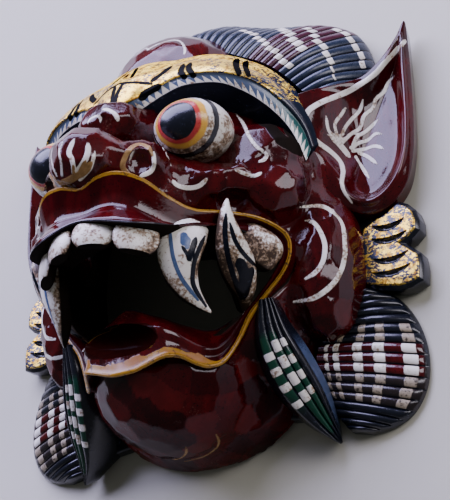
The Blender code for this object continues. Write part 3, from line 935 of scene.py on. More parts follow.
# %% [markdown]
# ## The nostrils
#
# A gouge turned on its tip sinks each nostril after the nose is round. Here the points within a
# few millimetres of one spot are pushed inwards, the most in the middle. The spot is where one
# pixel's line of sight meets the nose, and its twin lies on the other half.

# %% Sink the nostrils
NOSTRIL_PIXEL = (140, 161)


def dent(made, pixel, radius, depth):
    """Presses a round hollow into both halves where a pixel's line of sight lands."""
    spot, facing = ray_tree(made).ray_cast(CAMERA_AT, sight(*pixel))[:2]
    at = places(made)
    side = np.where(at[:, 0] < 0, -1.0, 1.0)
    folded = at * np.column_stack((side, np.ones(len(at)), np.ones(len(at))))
    away = np.linalg.norm(folded - np.array(spot / MM), axis=1) / radius
    sink = depth * np.clip(1 - away**2, 0, 1) ** 0.7
    push = np.array(facing)[None, :] * sink[:, None]
    push[:, 0] *= side
    move(made, (at - push) * MM)
    print("dent at, mm:", [round(c / MM, 1) for c in spot])


dent(face, NOSTRIL_PIXEL, radius=6.2, depth=4.5)

# %% [markdown]
# ## Lines painted on the face
#
# White enamel flames on the nose, a ring round each nostril, a crescent under each eye, two arcs on
# each cheek, and two thin tan hairs on the chin. They are given as the camera sees them on the
# right half and repeated on the left. The strokes on the nose and the chin are laid once. Wide
# black strokes under the brow are painted shade in the deep place beside the eye.

# %% Paint the face
WHITE_ON_FACE = [
    (2.3, [(305, 220), (314, 223), (321, 233), (325, 246), (323, 261), (316, 272), (305, 279)]),
    (2.6, [(300, 207), (321, 206), (335, 214), (343, 226), (345, 246), (345, 255), (341, 271),
           (332, 285), (314, 298), (294, 302)]),
    (2.2, [(172, 179), (177, 185), (188, 188), (199, 186), (207, 179)]),
    (1.8, [(235, 170), (246, 174), (254, 176), (261, 173)]),
    (1.8, [(235, 113), (243, 123), (249, 136), (256, 146), (266, 154), (265, 159), (258, 162)]),
    # The white lower and right arc of each nostril ring: partly white paint, partly a painted
    # highlight.
    (2.3, [(154, 152), (154, 162), (151, 171), (141, 176)]),
    (1.3, [(134, 151), (131, 156), (130, 163)]),
    (0.9, [(159, 143), (166, 153), (171, 166)]),
    (1.4, [(141, 56), (152, 47), (164, 42), (174, 40), (181, 42), (185, 49), (184, 55)]),
]
NOSE_FLAMES = [
    (1.3, [(53, 146), (51, 156), (53, 167), (57, 176)]),
    (1.5, [(63, 137), (61, 146), (59, 153), (61, 162), (62, 176)]),
    (2.4, [(75, 138), (71, 146), (69, 153), (72, 160), (74, 173)]),
    (2.6, [(88, 142), (88, 151), (85, 160), (77, 172)]),
    (1.8, [(95, 151), (93, 160), (90, 169), (80, 180)]),
]
WHITE_ON_BRIDGE = [
    (1.5, [(87, 125), (90, 119), (97, 116), (100, 117), (101, 122)]),
    (2.4, [(103, 109), (109, 110), (115, 114), (118, 120)]),
]
TAN_ON_NOSE = [(3.6, [(53, 176), (58, 183), (66, 182), (75, 177), (84, 172), (91, 163)]),
               (1.6, [(73, 165), (74, 176)]), (1.8, [(86, 160), (80, 171)])]
TAN_ROUND_NOSTRIL = [(2.6, [(153, 156), (149, 148), (140, 144), (131, 148), (124, 160),
                            (123, 168), (129, 174)])]
TAN_ON_CHIN = [
    (1.3, [(186, 447), (186, 453), (181, 458), (172, 460)]),
    (1.3, [(216, 434), (219, 443), (213, 451), (200, 458), (182, 462)]),
]
# Black strokes of painted shade under the overhanging brow, beside the eye.
SHADE_UNDER_BROW = [
    (9.0, [(214, 92), (232, 98), (250, 109), (268, 124), (284, 140), (300, 152)]),
    (7.0, [(262, 104), (278, 120), (292, 136), (304, 150)]),
]

lay_strokes(face, "white_line", WHITE_ON_FACE)
lay_strokes(face, "white_line", WHITE_ON_BRIDGE, mirrored=False)
lay_strokes(face, "white_line", NOSE_FLAMES, mirrored=False, ends=(0.25, 1.0))
lay_strokes(face, "tan_line", TAN_ON_NOSE + TAN_ON_CHIN, mirrored=False)
lay_strokes(face, "tan_line", TAN_ROUND_NOSTRIL)
lay_strokes(face, "black_line", SHADE_UNDER_BROW)

# %% [markdown]
# ## The lips
#
# One band runs round the whole mouth. Outside it has a raised line of ochre paint, then a hollow
# darkened with painted shade, then a fat glossy roll, and its mouth edge is black like gums. Its
# throat and the scoop in the lower lip are painted dark as shade. Each station gets a closed
# section, and a grid is bent over the sections, so the paint can follow distances that are
# measured along the section. The upper lip has a deep hollow and a hanging edge, the lower one is
# flatter, and the section changes from one to the other at the corner of the mouth.

# %% Sweep the lips
SECTION_STEPS, STATION_STEPS = 6, 7
RIDGE_AT, GUM_AT = 2 * SECTION_STEPS, 8 * SECTION_STEPS
LAST_STATION = len(LIP_EDGE) - 1
CORNER_STATION, CORNER_SPAN = 5, 4
UNDER_CHIN_STATION = 12

lip_rings = []
for i, (outer, crest, inner) in enumerate(zip(LIP_EDGE, LIP_ROLL, LIP_RIM)):
    upper = min(1.0, max(0.0, 1.0 - (i - CORNER_STATION) / CORNER_SPAN))
    band = (crest - outer).normalized()
    ahead = LIP_EDGE[min(i + 1, LAST_STATION)] - LIP_EDGE[max(i - 1, 0)]
    lift = band.cross(ahead).normalized() * MM
    band *= MM
    dip = outer.lerp(crest, 0.5 + 0.15 * upper) - lift * (0.8 + 4.6 * upper)
    shoulder = crest.lerp(inner, 0.12) - lift * 3.2 * upper + lift * 0.3
    face_low = crest.lerp(inner, 0.7) + lift * (0.8 + 0.6 * upper)
    lip_edge = inner + lift * 2.2 * upper
    throat = inner - Vector((0, 0, 26 * MM))
    deep = Vector((outer.x * 0.96, outer.y * 0.96, outer.z - 28 * MM))
    ledge = outer.lerp(deep, 0.2)
    if i > UNDER_CHIN_STATION:
        ledge = ledge.lerp(throat, 0.12)
    corners = [
        ledge, outer - band * 0.9 - lift * 1.0, outer + lift * 0.9, outer + band * 2.0,
        dip, dip.lerp(shoulder, 0.55) - lift * 0.6 * upper + lift * (1 - upper),
        shoulder, face_low, lip_edge, throat, deep]
    lip_rings.append(section(corners, 9, SECTION_STEPS))
stations = smooth_rings(lip_rings + other_half(lip_rings[-2:0:-1]), STATION_STEPS, closed=True)
whole_turn = len(stations)
down = [1 - abs(1 - 2 * i / whole_turn) for i in range(whole_turn)]
lips_mesh = skin(stations, {
    "from_ridge": [lengths(ring, RIDGE_AT) for ring in stations],
    "from_gum": [lengths(ring, GUM_AT) for ring in stations],
    "lower": [[share] * len(stations[0]) for share in down],
}, closed=True)
print("lip sections:", whole_turn)

# %% Finish for the lips: lacquer, ochre line, gums, painted shade in the hollow, the throat and the scoop
f = Finish("lip_lacquer", specular_IOR_level=0.40)
ridge, gum, low = f.stored("from_ridge"), f.stored("from_gum"), f.stored("lower")
is_low = low.above(0.72, 0.06)
red, line, black = lacquer(f), ochre(f), ink(f)
worn = f.noise(3.0, 4.0, shift=40.0)
# Painted shade: the concave band between the ochre line and the roll of the upper lip is darkened.
shaded_hollow_band = ridge.above(1.6, 0.8) * ridge.below(11.0, 4.0) * (1.0 - is_low)
red = (f.mix(shaded_hollow_band * 0.4, red[0], (0.008, 0.0009, 0.0012)), *red[1:])
wide = is_low * 1.3 + 1.75
patch = f.noise(22.0, 3.0, shift=60.0).above(0.5, 0.12) * is_low
from_middle = abs(ridge - is_low * 1.2 - patch * 1.4)
painted = from_middle.below(wide + patch * 1.4 + (worn - 0.5) * 0.8, 0.35)
faded = ridge.above(1.6, 1.2) * patch * 0.75
line = (f.mix(faded, line[0], f.mix(worn, (0.22, 0.075, 0.02), (0.36, 0.17, 0.075))),
        *line[1:])
now = over(f, painted, red, line)
now = over(f, f.line("white_line"), now, enamel(f, 0.15))
now = over(f, gum.above(-1.0, 0.5) * gum.below(-0.2, 0.5), now, black)
# Painted shade: the lip's wall down into the mouth is painted dull and dark.
throat = gum.above(-0.3, 0.5) * gum.below(40.0)
now = over(f, throat, now, dark_paint_and_shade(f))
# Painted shade: the scoop in the lower lip is painted a very dark red.
scoop_shade_red = f.mix(worn, (0.008, 0.0012, 0.0010), (0.024, 0.0034, 0.0026))
scooped = f.stored("scooped").above(0.5, 0.4)
now = over(f, scooped, now, (scoop_shade_red, now[1] + 0.1, now[2]))
now = bare_back(f, now)
lip_finish = f.show(now, dull=shaded_hollow_band * 0.75 + throat * 0.9 + scooped * 0.85)

# %% Scoop the lower lip
SCOOP_FLOOR, SCOOP_SHARE = 66, 0.94
OFF_THE_RIDGE, OFF_THE_GUM = 12.0, -20.0
WHITE_AT_CORNER = [(2.2, [(258, 290), (251, 300), (243, 314)])]

lips = piece("lips", lips_mesh, lip_finish)
hollow_out(lips, ["lip_scoop"])
at = places(lips) + (0, CENTRE_Y, 0)
in_scoop = np.linalg.norm(((at - SCOOP[0]) / SCOOP[1])[:, :2], axis=1) < SCOOP_SHARE
in_scoop &= at[:, 2] > SCOOP_FLOOR
store(lips, "from_ridge", np.where(in_scoop, OFF_THE_RIDGE, read(lips, "from_ridge")))
store(lips, "from_gum", np.where(in_scoop, OFF_THE_GUM, read(lips, "from_gum")))
store(lips, "scooped", in_scoop)
lay_strokes(lips, "white_line", WHITE_AT_CORNER)
print("points in the scoop:", int(in_scoop.sum()))

# %% [markdown]
# ## The brow
#
# The brow overhangs the eyes like the edge of a helmet. Its underside is black, its lower edge
# carries a painted row of white lashes on blue-grey paint that is lightened as a painted reflection
# of the sky, and the rest is gold leaf cut up by black lines. It could be one half and its mirror
# image. Here the sections of both halves are joined into one sweep from end to end, so that the
# skin has no seam between the eyes.

# %% Sweep the brow
BROW_UNDER = [
    (0, 43, 90), (10, 47, 89), (16, 50, 88), (23, 54, 86), (34, 57, 84), (50, 56, 79),
    (60, 52, 72), (69, 45, 64), (76, 36, 56), (80, 26, 50), (82, 17, 46)]
BROW_LASH = [
    (0, 47, 97), (8, 50, 95), (14, 54, 91), (22, 57.5, 89), (31, 61.5, 86), (46, 61, 83),
    (59, 58.5, 77), (69, 54, 68), (77, 45, 58), (82, 35, 49), (84, 24, 44)]
BROW_FULL = [
    (0, 66, 92), (9, 68, 90), (17, 70, 86), (26, 73, 82), (38, 74.5, 78), (52, 72, 73),
    (63, 66, 67), (73, 59, 58), (78.8, 48.5, 53.5), (82.8, 38, 45.5), (84.3, 27, 41)]
BROW_TOP = [
    (0, 91, 69), (9, 90, 68), (19, 88, 66), (29, 88, 63), (40, 87, 60), (53, 81, 58),
    (66, 73, 53), (76, 62, 45), (80.5, 51, 47), (83.5, 40.5, 41), (84.8, 29.5, 37)]
BROW_STEPS, BROW_STATION_STEPS = 9, 19

brow_rings = []
for low, line, belly, high in zip(*map(mm, (BROW_UNDER, BROW_LASH, BROW_FULL, BROW_TOP))):
    up = (belly - line).normalized()
    strip = (line - low).normalized()
    out = Vector((line.x * 0.5, 0.0, line.z)).normalized() * MM
    behind = Vector((high.x * 0.8, high.y * 0.82, high.z - 16 * MM))
    within = Vector((low.x * 0.8, low.y * 0.82, low.z - 22 * MM))
    corners = [
        low.lerp(within, 0.06), low, low.lerp(line, 0.5) + out * 0.3,
        line - strip * 0.6 * MM, line + out * 1.3, line.lerp(belly, 0.35) + out * 2.4,
        line.lerp(belly, 0.7) + out * 1.9, belly + out * 0.6,
        belly.lerp(high, 0.5) + out * 1.6 + up * MM, high, behind, within]
    brow_rings.append(section(corners, 10, BROW_STEPS))
stations = smooth_rings(other_half(brow_rings[:0:-1]) + brow_rings, BROW_STATION_STEPS)
LOW_AT, LASH_AT = BROW_STEPS, 3 * BROW_STEPS
edge_line = [ring[LASH_AT] for ring in stations]
run = [0.0]
for a, b in zip(edge_line, edge_line[1:]):
    run.append(run[-1] + (b - a).length / MM)
half_run = run[-1] / 2
brow_mesh = skin(stations, {
    "from_low": [lengths(ring, LOW_AT) for ring in stations],
    "from_lash": [lengths(ring, LASH_AT) for ring in stations],
    "along_brow": [[abs(at - half_run)] * len(stations[0]) for at in run],
})
print("lash line, mm:", round(run[-1]))

# %% Finish for the brow: lashes, gold leaf, black strokes
LASH_HIGH, LASH_PERIOD = 5.2, 4.2
BLUE_ENDS, SLATE_STARTS, GOLD_ENDS = 92.0, 80.0, 92.0

f = Finish("brow_gold", roughness=0.35)
low_rise, rise, along_brow = [f.stored(name) for name in ("from_low", "from_lash", "along_brow")]
leaf, black, white = gold(f, f.stored("wear")), ink(f), enamel(f, 0.1)
# The blue-grey ground of the lashes: blue paint, lightened as a painted reflection of the sky.
blue = f.mix(along_brow.above(BLUE_ENDS, 34.0), (0.075, 0.105, 0.160), (0.012, 0.085, 0.070))
saw = abs((along_brow % LASH_PERIOD) / LASH_PERIOD - 0.5) * 2.0
high = (along_brow - 55.0).most(0.0) * 0.03 + LASH_HIGH
tooth = (saw + low_rise / high).below(1.0, 0.12) * low_rise.above(0.1, 0.15)
lash = over(f, tooth, (blue, *black[1:]), white)
gold_end = (along_brow - GOLD_ENDS).most(0.0) ** 1.3 * 0.9
on_gold = (rise - gold_end).above(0.7, 0.35) * rise.below(60.0)
slate = f.mix(f.noise(5.0), (0.003, 0.004, 0.007), (0.014, 0.020, 0.034))
now = over(f, rise.above(0.2, 0.3) * along_brow.above(SLATE_STARTS, 4.0),
           black, (slate, *black[1:]))
now = over(f, rise.below(0.25, 0.25) * low_rise.above(0.0, 0.2), now, lash)
now = over(f, on_gold, now, leaf[:3])
struck = f.line("black_line", 0.4)
now = (f.mix(struck, now[0], (0.0015, 0.0015, 0.002)), f.blend(struck, now[1], 0.45),
       now[2] - struck * 0.7)
now = bare_back(f, now)
shine = leaf[3] * on_gold * (1.0 - struck)
under_brow = low_rise.below(-0.2, 0.3)
brow_finish = f.show(now, metallic=shine * 0.8, dull=(struck + under_brow) * 0.9)
brow = piece("brow", brow_mesh, brow_finish)
hollow_out(brow)

# %% Stroke the brow
BLACK_ON_BROW = [
    (3.3, [(183.5, 64), (181, 71.7), (185, 77.5)]), (3.3, [(190, 63), (189, 69), (194, 76)]),
    (3.6, [(241.7, 54), (236, 63), (239, 73)]), (3.4, [(250, 57), (245.5, 65), (248.5, 75)]),
    (2.6, [(141, 62), (136, 70), (131.7, 77)]), (2.4, [(129, 68), (126, 77)]),
    (3.6, [(171.7, 66), (160, 75), (153, 80)]), (4.2, [(160, 86), (148, 91.7), (141.7, 98)]),
    (2.7, [(123, 83), (116.7, 95), (114, 106.7)]), (2.7, [(116, 84), (110, 96.7), (107.5, 106)]),
    (1.9, [(105, 90), (117.5, 84), (135, 82.5), (151.7, 84)]),
    (2.3, [(101, 92), (97, 102), (96, 109)]), (2.1, [(92, 100), (88, 110)]),
    (2.1, [(82, 104), (80, 112)]), (1.9, [(75, 110), (73, 118)]),
]
WEAR_STARTS, WEAR_SPAN = 50, 25

lay_strokes(brow, "black_line", BLACK_ON_BROW)
outward = (np.abs(places(brow)[:, 0]) - WEAR_STARTS) / WEAR_SPAN
store(brow, "wear", np.clip(outward, 0, 1) * 0.36 + 0.10)

# %% [markdown]
# ## The eyes
#
# Round bulging eyes, turned outward. The rings of the iris are painted by eye on the real mask.
# Here each point of the ball stores its straight distance from the middle of the pupil, and the
# finish steps through the rings from the outside in, each laid over the last. A slow noise added
# to the distance gives the rings the wobble of a hand.

# %% Finish for the eyes: the rings of the iris
f = Finish("painted_eye", roughness=0.15)
wobble = (f.noise(9.0, 3.0, shift=3.0) - 0.5) * 1.6
ring = f.stored("from_pupil") + wobble
# The white grows browner towards the bottom of each eye.
black, white = ink(f), enamel(f, (20.0 - f.axis("Y")) * 0.030 + 0.16)
pink = f.mix(f.noise(4.0, 3.0), (0.36, 0.012, 0.030), (0.48, 0.065, 0.035))
yellow = f.mix(f.noise(4.0, 3.0, shift=2.0), (0.62, 0.27, 0.012), (0.66, 0.45, 0.10))
now = over(f, ring.below(21.0, 0.5), white, black)
now = over(f, ring.below(18.2, 0.5), now, white)
now = over(f, ring.below(15.2, 0.9), now, (yellow, *white[1:]))
now = over(f, ring.below(12.3, 1.0), now, (pink, *white[1:]))
now = over(f, ring.below(10.0, 0.5), now, black)
rim_red = (f.mix(f.noise(3.0), (0.25, 0.010, 0.008), (0.42, 0.02, 0.015)), *white[1:])
now = over(f, f.line("red_line", 0.5), now, rim_red)
eye_finish = f.show(now)

# %% Set the eyes in
PUPIL_AT = (42.55, 24.34, 103.34)
RED_ON_EYE = [(1.3, [(230, 119), (234, 129), (235, 142), (232, 155)])]

eyes_mesh = both_sides(ball(EYE_CENTRE, EYE_RADII, detail=144))
eyes = piece("eyes", eyes_mesh, eye_finish, angle=60)
at = places(eyes) + (0, CENTRE_Y, 0)
at[:, 0] = np.abs(at[:, 0])
store(eyes, "from_pupil", np.linalg.norm(at - PUPIL_AT, axis=1))
lay_strokes(eyes, "red_line", RED_ON_EYE)

# %% [markdown]
# ## The teeth
#
# Four peg teeth stand above the mouth, a curved fang hangs beside them on each side, and a tusk
# rises from each corner of the lower jaw with a molar behind it. Squared balls make the pegs and
# the molars, and rods that taper to a point make the fangs and tusks. The pegs aren't cut alike,
# so each has its own place, and the rest is mirrored. Each point stores how far its skin faces
# out of the mouth. Where it faces aside the enamel is painted browner, partly patina and partly
# painted shade, and on the inner side it is painted dark, partly dark paint and partly painted
# shade inside the mouth.

# %% Shape the pegs and molars
PEGS = [((7.4, -34.0, 117.5), (10.6, 8.5, 4.2), (-8, 22, -2)),
        ((26.0, -37.0, 109.5), (11.2, 9.8, 4.2), (-8, 46, -8)),
        ((-13.2, -35, 116), (10, 8.5, 4.2), (-8, -24, 2)),
        ((-30.5, -38, 104.5), (11.2, 9.8, 4.2), (-8, -46, 8))]
PEG_CUT, PEG_SQUARE, MOLAR_SQUARE = -0.78, 0.93, 0.72
MOLAR = ((60.0, -30.0, 58.0), (12.5, 10.0, 7.5), (0, 35, -40))


def peg(middle, radii, turn, squareness, cut_at=None):
    """A squared ball, sawn off at its biting edge."""
    bm = ball((0, 0, 0), (1000, 1000, 1000), detail=72, squareness=squareness)
    if cut_at is not None:
        bmesh.ops.bisect_plane(bm, geom=[*bm.verts, *bm.edges, *bm.faces], dist=1e-6,
                               plane_co=(0, cut_at, 0), plane_no=(0.0, -1.0, 0.0),
                               clear_outer=True)
        bitten = [edge for edge in bm.edges if edge.is_boundary]
        bmesh.ops.holes_fill(bm, edges=bitten, sides=0)
        bmesh.ops.bevel(bm, geom=bitten, offset=0.07, segments=3, profile=0.5,
                        affect="EDGES", clamp_overlap=True, material=-1)
    set_in(bm, middle, radii, turn)
    return bm


teeth_mesh = both_sides(peg(*MOLAR, MOLAR_SQUARE))
for middle, radii, turn in PEGS:
    gather(teeth_mesh, peg(middle, radii, turn, PEG_SQUARE, PEG_CUT))
print("pegs and molars:", len(PEGS) + 2)


# %% Tell a tooth's outer side from its inner side
TOOTH_LINES = ("black_line", "blue_line")


def mark_teeth(made, root, browning, lean=0.0):
    """Stores how far a tooth's skin faces out of the mouth, and clears its unused lines.

    The root is the height of the line inside the mouth that the skin should face away from.
    """
    at = places(made)
    out = at * (1, 0, 1) - (0, 0, root)
    out /= np.linalg.norm(out, axis=1, keepdims=True)
    store(made, "facing_out", (rows(made, "normal") * out).sum(1) - lean)
    store(made, "browning", np.zeros(len(at)) + browning)
    for name in TOOTH_LINES:
        if not made.data.attributes.get(name):
            store(made, name, np.full(len(at), FAR_OFF))


print("lines on the teeth:", ", ".join(TOOTH_LINES))

# %% Finish for the teeth: enamel, stains and painted shade, blue and black lines
f = Finish("tooth_enamel", specular_IOR_level=0.35)
facing_out = f.stored("facing_out")
# Stain and painted shade: the enamel browns where the skin faces aside.
stain_and_shade_aside = 0.98 - facing_out * 1.05
now = enamel(f, stain_and_shade_aside.most(0.0) + f.stored("browning"))
steel = f.mix(f.noise(4.0), (0.030, 0.060, 0.130), (0.085, 0.130, 0.220))
now = over(f, f.line("blue_line", 0.4), now, (steel, *now[1:]))
# Painted shade: the inner side of each tooth is painted dark, partly over real dark paint.
shaded_inner_side = facing_out.below(0.16, 0.16)
now = over(f, shaded_inner_side, now, dark_paint_and_shade(f))
struck = f.line("black_line", 0.4)
now = over(f, struck, now, ink(f))
now = bare_back(f, now)
tooth_finish = f.show(now, dull=shaded_inner_side * 0.9 + struck * 0.6)

# %% Set the pegs and molars in
MOLARS_FROM = 48
teeth = piece("peg_teeth", teeth_mesh, tooth_finish, angle=60)
hollow_out(teeth)
at = places(teeth)
is_molar = np.abs(at[:, 0]) > MOLARS_FROM
mark_teeth(teeth, root=55, browning=np.where(is_molar, 0.20, 0.06), lean=0.20)


# %% Give the fangs and tusks their curves
def seen_at(u, v, height):
    """The point on a pixel's line of sight at this height over the floor, before centring."""
    way = sight(u, v)
    point = CAMERA_AT + way * ((height * MM - CAMERA_AT.z) / way.z)
    return (point.x / MM, point.y / MM + CENTRE_Y, height)


FANG = [(39, -25, 86), (38.7, -33, 90), (37.4, -41, 91), (36.6, -49, 88.5), (37.4, -56, 83.5),
        (40.2, -61.5, 78), (43.5, -65.5, 73)]
FANG_SIZES = [(10, 6), (11.2, 7), (10.6, 6.5), (8.6, 5.5), (6.0, 4.4), (3.2, 2.8), (0.7, 0.7)]
TUSK = [seen_at(*pixel) for pixel in (
    (245, 308, 44), (243, 297, 50), (242, 284, 57), (237, 265, 66), (231, 246, 74),
    (227, 225, 80), (226, 211, 82), (227, 199, 81))]
TUSK_SIZES = [(4, 3.5), (5, 4.2), (7.2, 4.8), (8.8, 5.2), (7.8, 5.2), (5, 4.2), (2.9, 2.8),
              (0.7, 0.7)]
print("tusk root, mm:", [round(c) for c in TUSK[0]])


# %% Shape and paint the fangs and tusks
BLUE_ON_FANGS = [
    (2.0, [(170, 230), (171, 243), (174, 260), (182, 279), (198, 300)]),
    (3.6, [(184, 234), (184, 242)]), (2.2, [(189, 238), (187, 247)]),
]
BLACK_ON_FANGS = [
    (3.0, [(196, 238), (192, 250), (189, 259)]), (1.8, [(182, 246), (187, 254), (190, 260)]),
    (2.6, [(205, 236), (200, 247), (195, 260), (193, 272), (194, 286), (206, 306)]),
]
BLACK_ON_TUSKS = [
    (2.6, [(226, 214), (225, 231), (227, 251), (232, 271), (241, 299)]),
    (2.2, [(230, 223), (235, 240), (244, 254), (258, 268)]),
    (5.4, [(239, 260), (244, 273), (245, 288)]),
    (5.0, [(252, 269), (248, 281), (243, 297)]),
]


def horn(path, sizes, origin):
    """A pair of rods that taper to a point."""
    return both_sides(skin(rod_rings(path, sizes, origin, sides=64, steps=14)))


fangs = piece("fangs", horn(FANG, FANG_SIZES, (-60, 20, -100)), tooth_finish, angle=60)
lay_strokes(fangs, "blue_line", BLUE_ON_FANGS)
lay_strokes(fangs, "black_line", BLACK_ON_FANGS)
tusks = piece("tusks", horn(TUSK, TUSK_SIZES, (-430, 380, -700)), tooth_finish, angle=60)
lay_strokes(tusks, "black_line", BLACK_ON_TUSKS)
for made in (fangs, tusks):
    hollow_out(made)
mark_teeth(fangs, root=40, browning=-0.12, lean=0.26)
mark_teeth(tusks, root=20, browning=0.30)

# %% [markdown]
# ## The ears
#
# Each ear is a tall point with a scooped cup, and its tip stands off the floor. Its outline and
# its rim are given as rows of points, and the cup runs from the rim down to one low point. Where
# the ear meets the cheek, the points are given by the pixel that they are seen at and a height.
# A white line follows the rim, and a branching white plant, like coral, fills the cup.

# %% Name the ear's outline and rim
EAR_OUTER = [
    (126.3, 104, 13.5), (127.2, 86, 13), (127.4, 66, 13), (127.1, 46, 13), (125.8, 27, 13),
    (121.5, 10, 13), (113, 0, 13), (103, -4, 13.5), (94, -3, 20), (86, 2, 29), (79, 12, 36),
    seen_at(302, 150, 44), seen_at(289, 119, 48), seen_at(287, 100, 49), seen_at(306, 91, 41),
    seen_at(334, 85, 32), (103, 71.5, 23),
    (110.5, 78, 20), (116.5, 86, 17.5), (122.2, 95.5, 15.5)]
EAR_RIM = [
    (124.3, 91, 16.5), (124.3, 76, 17), (124.3, 60, 17), (124, 44, 17), (122.5, 27, 17.5),
    (118, 13.5, 18), (110.5, 4.5, 18.5), (102.5, 0.5, 20.5), (95.5, 3, 25), (92.5, 11, 29.5),
    (86, 22, 34), seen_at(309, 142, 41), seen_at(305, 124, 44), seen_at(314, 108, 41),
    seen_at(331, 98, 33), (97, 62.5, 25.5), (104.5, 66, 22.5), (111, 72.5, 20),
    (116.5, 80, 18.5), (121, 88, 17.5)]
EAR_LOW = Vector((97, 30, 13)) * MM
print("ear outline:", len(EAR_OUTER), "points, rim:", len(EAR_RIM))

# %% Scoop the ears
EAR_FOOT, RIM_EDGE = 4 * MM, 5 * MM
CUP_SHARES = (0.3, 0.62, 0.85, 0.999)

outer, rim = mm(EAR_OUTER), mm(EAR_RIM)
foot = [Vector((p.x * 0.985, p.y * 0.98, EAR_FOOT)) for p in outer]
edge_back = [p.lerp(q, 0.12) for p, q in zip(outer, foot)]
edge_top = [p.lerp(q, 0.45) + Vector((0, 0, 0.6 * MM)) for p, q in zip(outer, rim)]
slope = [p.lerp(EAR_LOW, 0.22) for p in rim]
for p, q in zip(slope, rim):
    p.z = q.z - RIM_EDGE
bowl = [[p.lerp(EAR_LOW, share) for p in slope] for share in CUP_SHARES]
ear_rings = [foot, edge_back, outer, edge_top, rim, slope, *bowl]
fine = [rounded(ring, 14, closed=True) for ring in ear_rings]
ear_mesh = both_sides(skin([fine[0]] + smooth_rings(fine[1:], 7)))
print("ear rings:", len(ear_rings))

# %% Paint the ears
CORAL = [
    [(327, 134), (340, 143), (349, 156)], [(326, 115), (329, 131), (337, 137)],
    [(347, 106), (341, 115), (335, 124), (337, 135)],
    [(363, 99), (360, 110), (351, 120), (345, 128), (340, 139)],
    [(396, 74), (388, 83), (384, 92), (376, 99), (373, 108), (364, 116), (360, 128),
     (351, 134), (343, 142)],
    [(379, 118), (372, 126), (365, 132), (357, 137), (353, 145)],
    [(383, 134), (375, 134), (368, 140), (359, 143), (351, 148)],
    [(384, 149), (375, 146), (365, 149), (353, 151)], [(377, 164), (368, 157), (359, 153)],
    [(369, 178), (362, 167), (356, 157)]]
EAR_LINE = [(405, 41), (394, 53), (384, 64), (376, 73), (362, 83), (349, 91), (337, 96),
            (324, 101), (313, 107), (307, 113), (305, 123), (309, 134), (319, 143), (330, 151),
            (340, 161), (343, 171), (342, 183), (345, 193), (352, 203)]
CORAL_ROOT = [(333, 138), (341, 146), (349, 156)]

f = Finish("ear_lacquer", specular_IOR_level=0.42)
red, white = lacquer(f), enamel(f, 0.15)
now = over(f, f.line("white_line"), red, white)
ear_finish = f.show(now)
ears = piece("ears", ear_mesh, ear_finish, angle=50)
lay_strokes(ears, "white_line", [(1.9, branch) for branch in CORAL], ends=(0.3, 1.0))
lay_strokes(ears, "white_line", [(2.9, EAR_LINE), (3.4, CORAL_ROOT)], ends=(0.8, 0.3))

# %% [markdown]
# ## The gilt ear pendants
#
# Under each ear hangs a flat leaf with two lobes. Its face is gold leaf worn down to the dark
# ground, its chamfered sides are black, and four crescents are cut into the face. A flat outline
# is extruded and inset for the chamfer, and four small curved rods cut the crescents.

# %% Bevel a flat form
PENDANT = [(94, -9), (101, -5.6), (108, -3), (111.5, -0.6), (114.5, 1), (119.5, -1.6),
           (123.5, -6), (125.2, -12), (125, -17.5), (120.5, -21.5), (117, -23), (120, -25.5),
           (125, -30), (125.8, -37), (125, -44.5), (119, -46.6), (113, -47), (102, -44.6),
           (92, -41), (90, -24)]


def flat_form(outline, top, base, chamfer, steps=3):
    """A flat-faced piece with a rounded chamfer, drawn looking down on it."""
    bm = bmesh.new()
    corners = [bm.verts.new(Vector((x, y, base)) * MM) for x, y in outline]
    bottom = bm.faces.new(corners)
    if bottom.normal.z < 0:
        bottom.normal_flip()
    raised = bmesh.ops.extrude_face_region(bm, geom=[bottom])["geom"]
    cap = [item for item in raised if isinstance(item, bmesh.types.BMFace)][0]
    for vert in cap.verts:
        vert.co.z = (top - chamfer) * MM
    bmesh.ops.recalc_face_normals(bm, faces=bm.faces)
    bmesh.ops.inset_region(bm, faces=[cap], thickness=chamfer * 0.9 * MM,
                           depth=chamfer * MM, use_even_offset=True)
    sharp = [edge for edge in bm.edges if edge.is_manifold and not edge.is_boundary
             and edge.calc_face_angle(0) > 0.3 and max(v.co.z for v in edge.verts) > base * MM]
    bmesh.ops.bevel(bm, geom=sharp, offset=0.35 * MM, segments=steps, profile=0.5,
                    affect="EDGES", clamp_overlap=True, material=-1)
    bmesh.ops.recalc_face_normals(bm, faces=bm.faces)
    return bm


print("pendant outline:", len(PENDANT), "points")

# %% Cut the crescents, and gild the pendants
CRESCENTS = ((-10, 9), (-17, 10), (-28, 10), (-35, 11))
CRESCENT_SIZES = [(0.5, 1.2), (1.7, 2.6), (2.1, 3.0), (1.7, 2.6), (0.5, 1.2)]
PENDANT_MIDDLE, PENDANT_TOP, CRESCENT_BOW = 109, 12.6, 3

bm = bmesh.new()
for y, span in CRESCENTS:
    path = [(PENDANT_MIDDLE + span * x, y - CRESCENT_BOW * (1 - x * x), 13.4)
            for x in (-1, -0.5, 0, 0.5, 1)]
    under = (PENDANT_MIDDLE, y, -400)
    gather(bm, skin(rod_rings(path, CRESCENT_SIZES, under, sides=12, steps=6)))
cutter("crescents", both_sides(bm))

f = Finish("pendant_gold", roughness=0.35)
flat = f.axis("Z").above(PENDANT_TOP - 0.6, 0.35)
leaf, black = gold(f, f.noise(18.0, 2.0, shift=50.0) * 0.8 + 0.02), ink(f)
now = over(f, flat, black, leaf[:3])
pendant_finish = f.show(now, metallic=leaf[3] * flat * 0.85)
pendants_mesh = both_sides(flat_form(PENDANT, top=PENDANT_TOP, base=2, chamfer=2.6))
pendants = piece("pendants", pendants_mesh, pendant_finish, angle=30)
cut(pendants, ["crescents"])

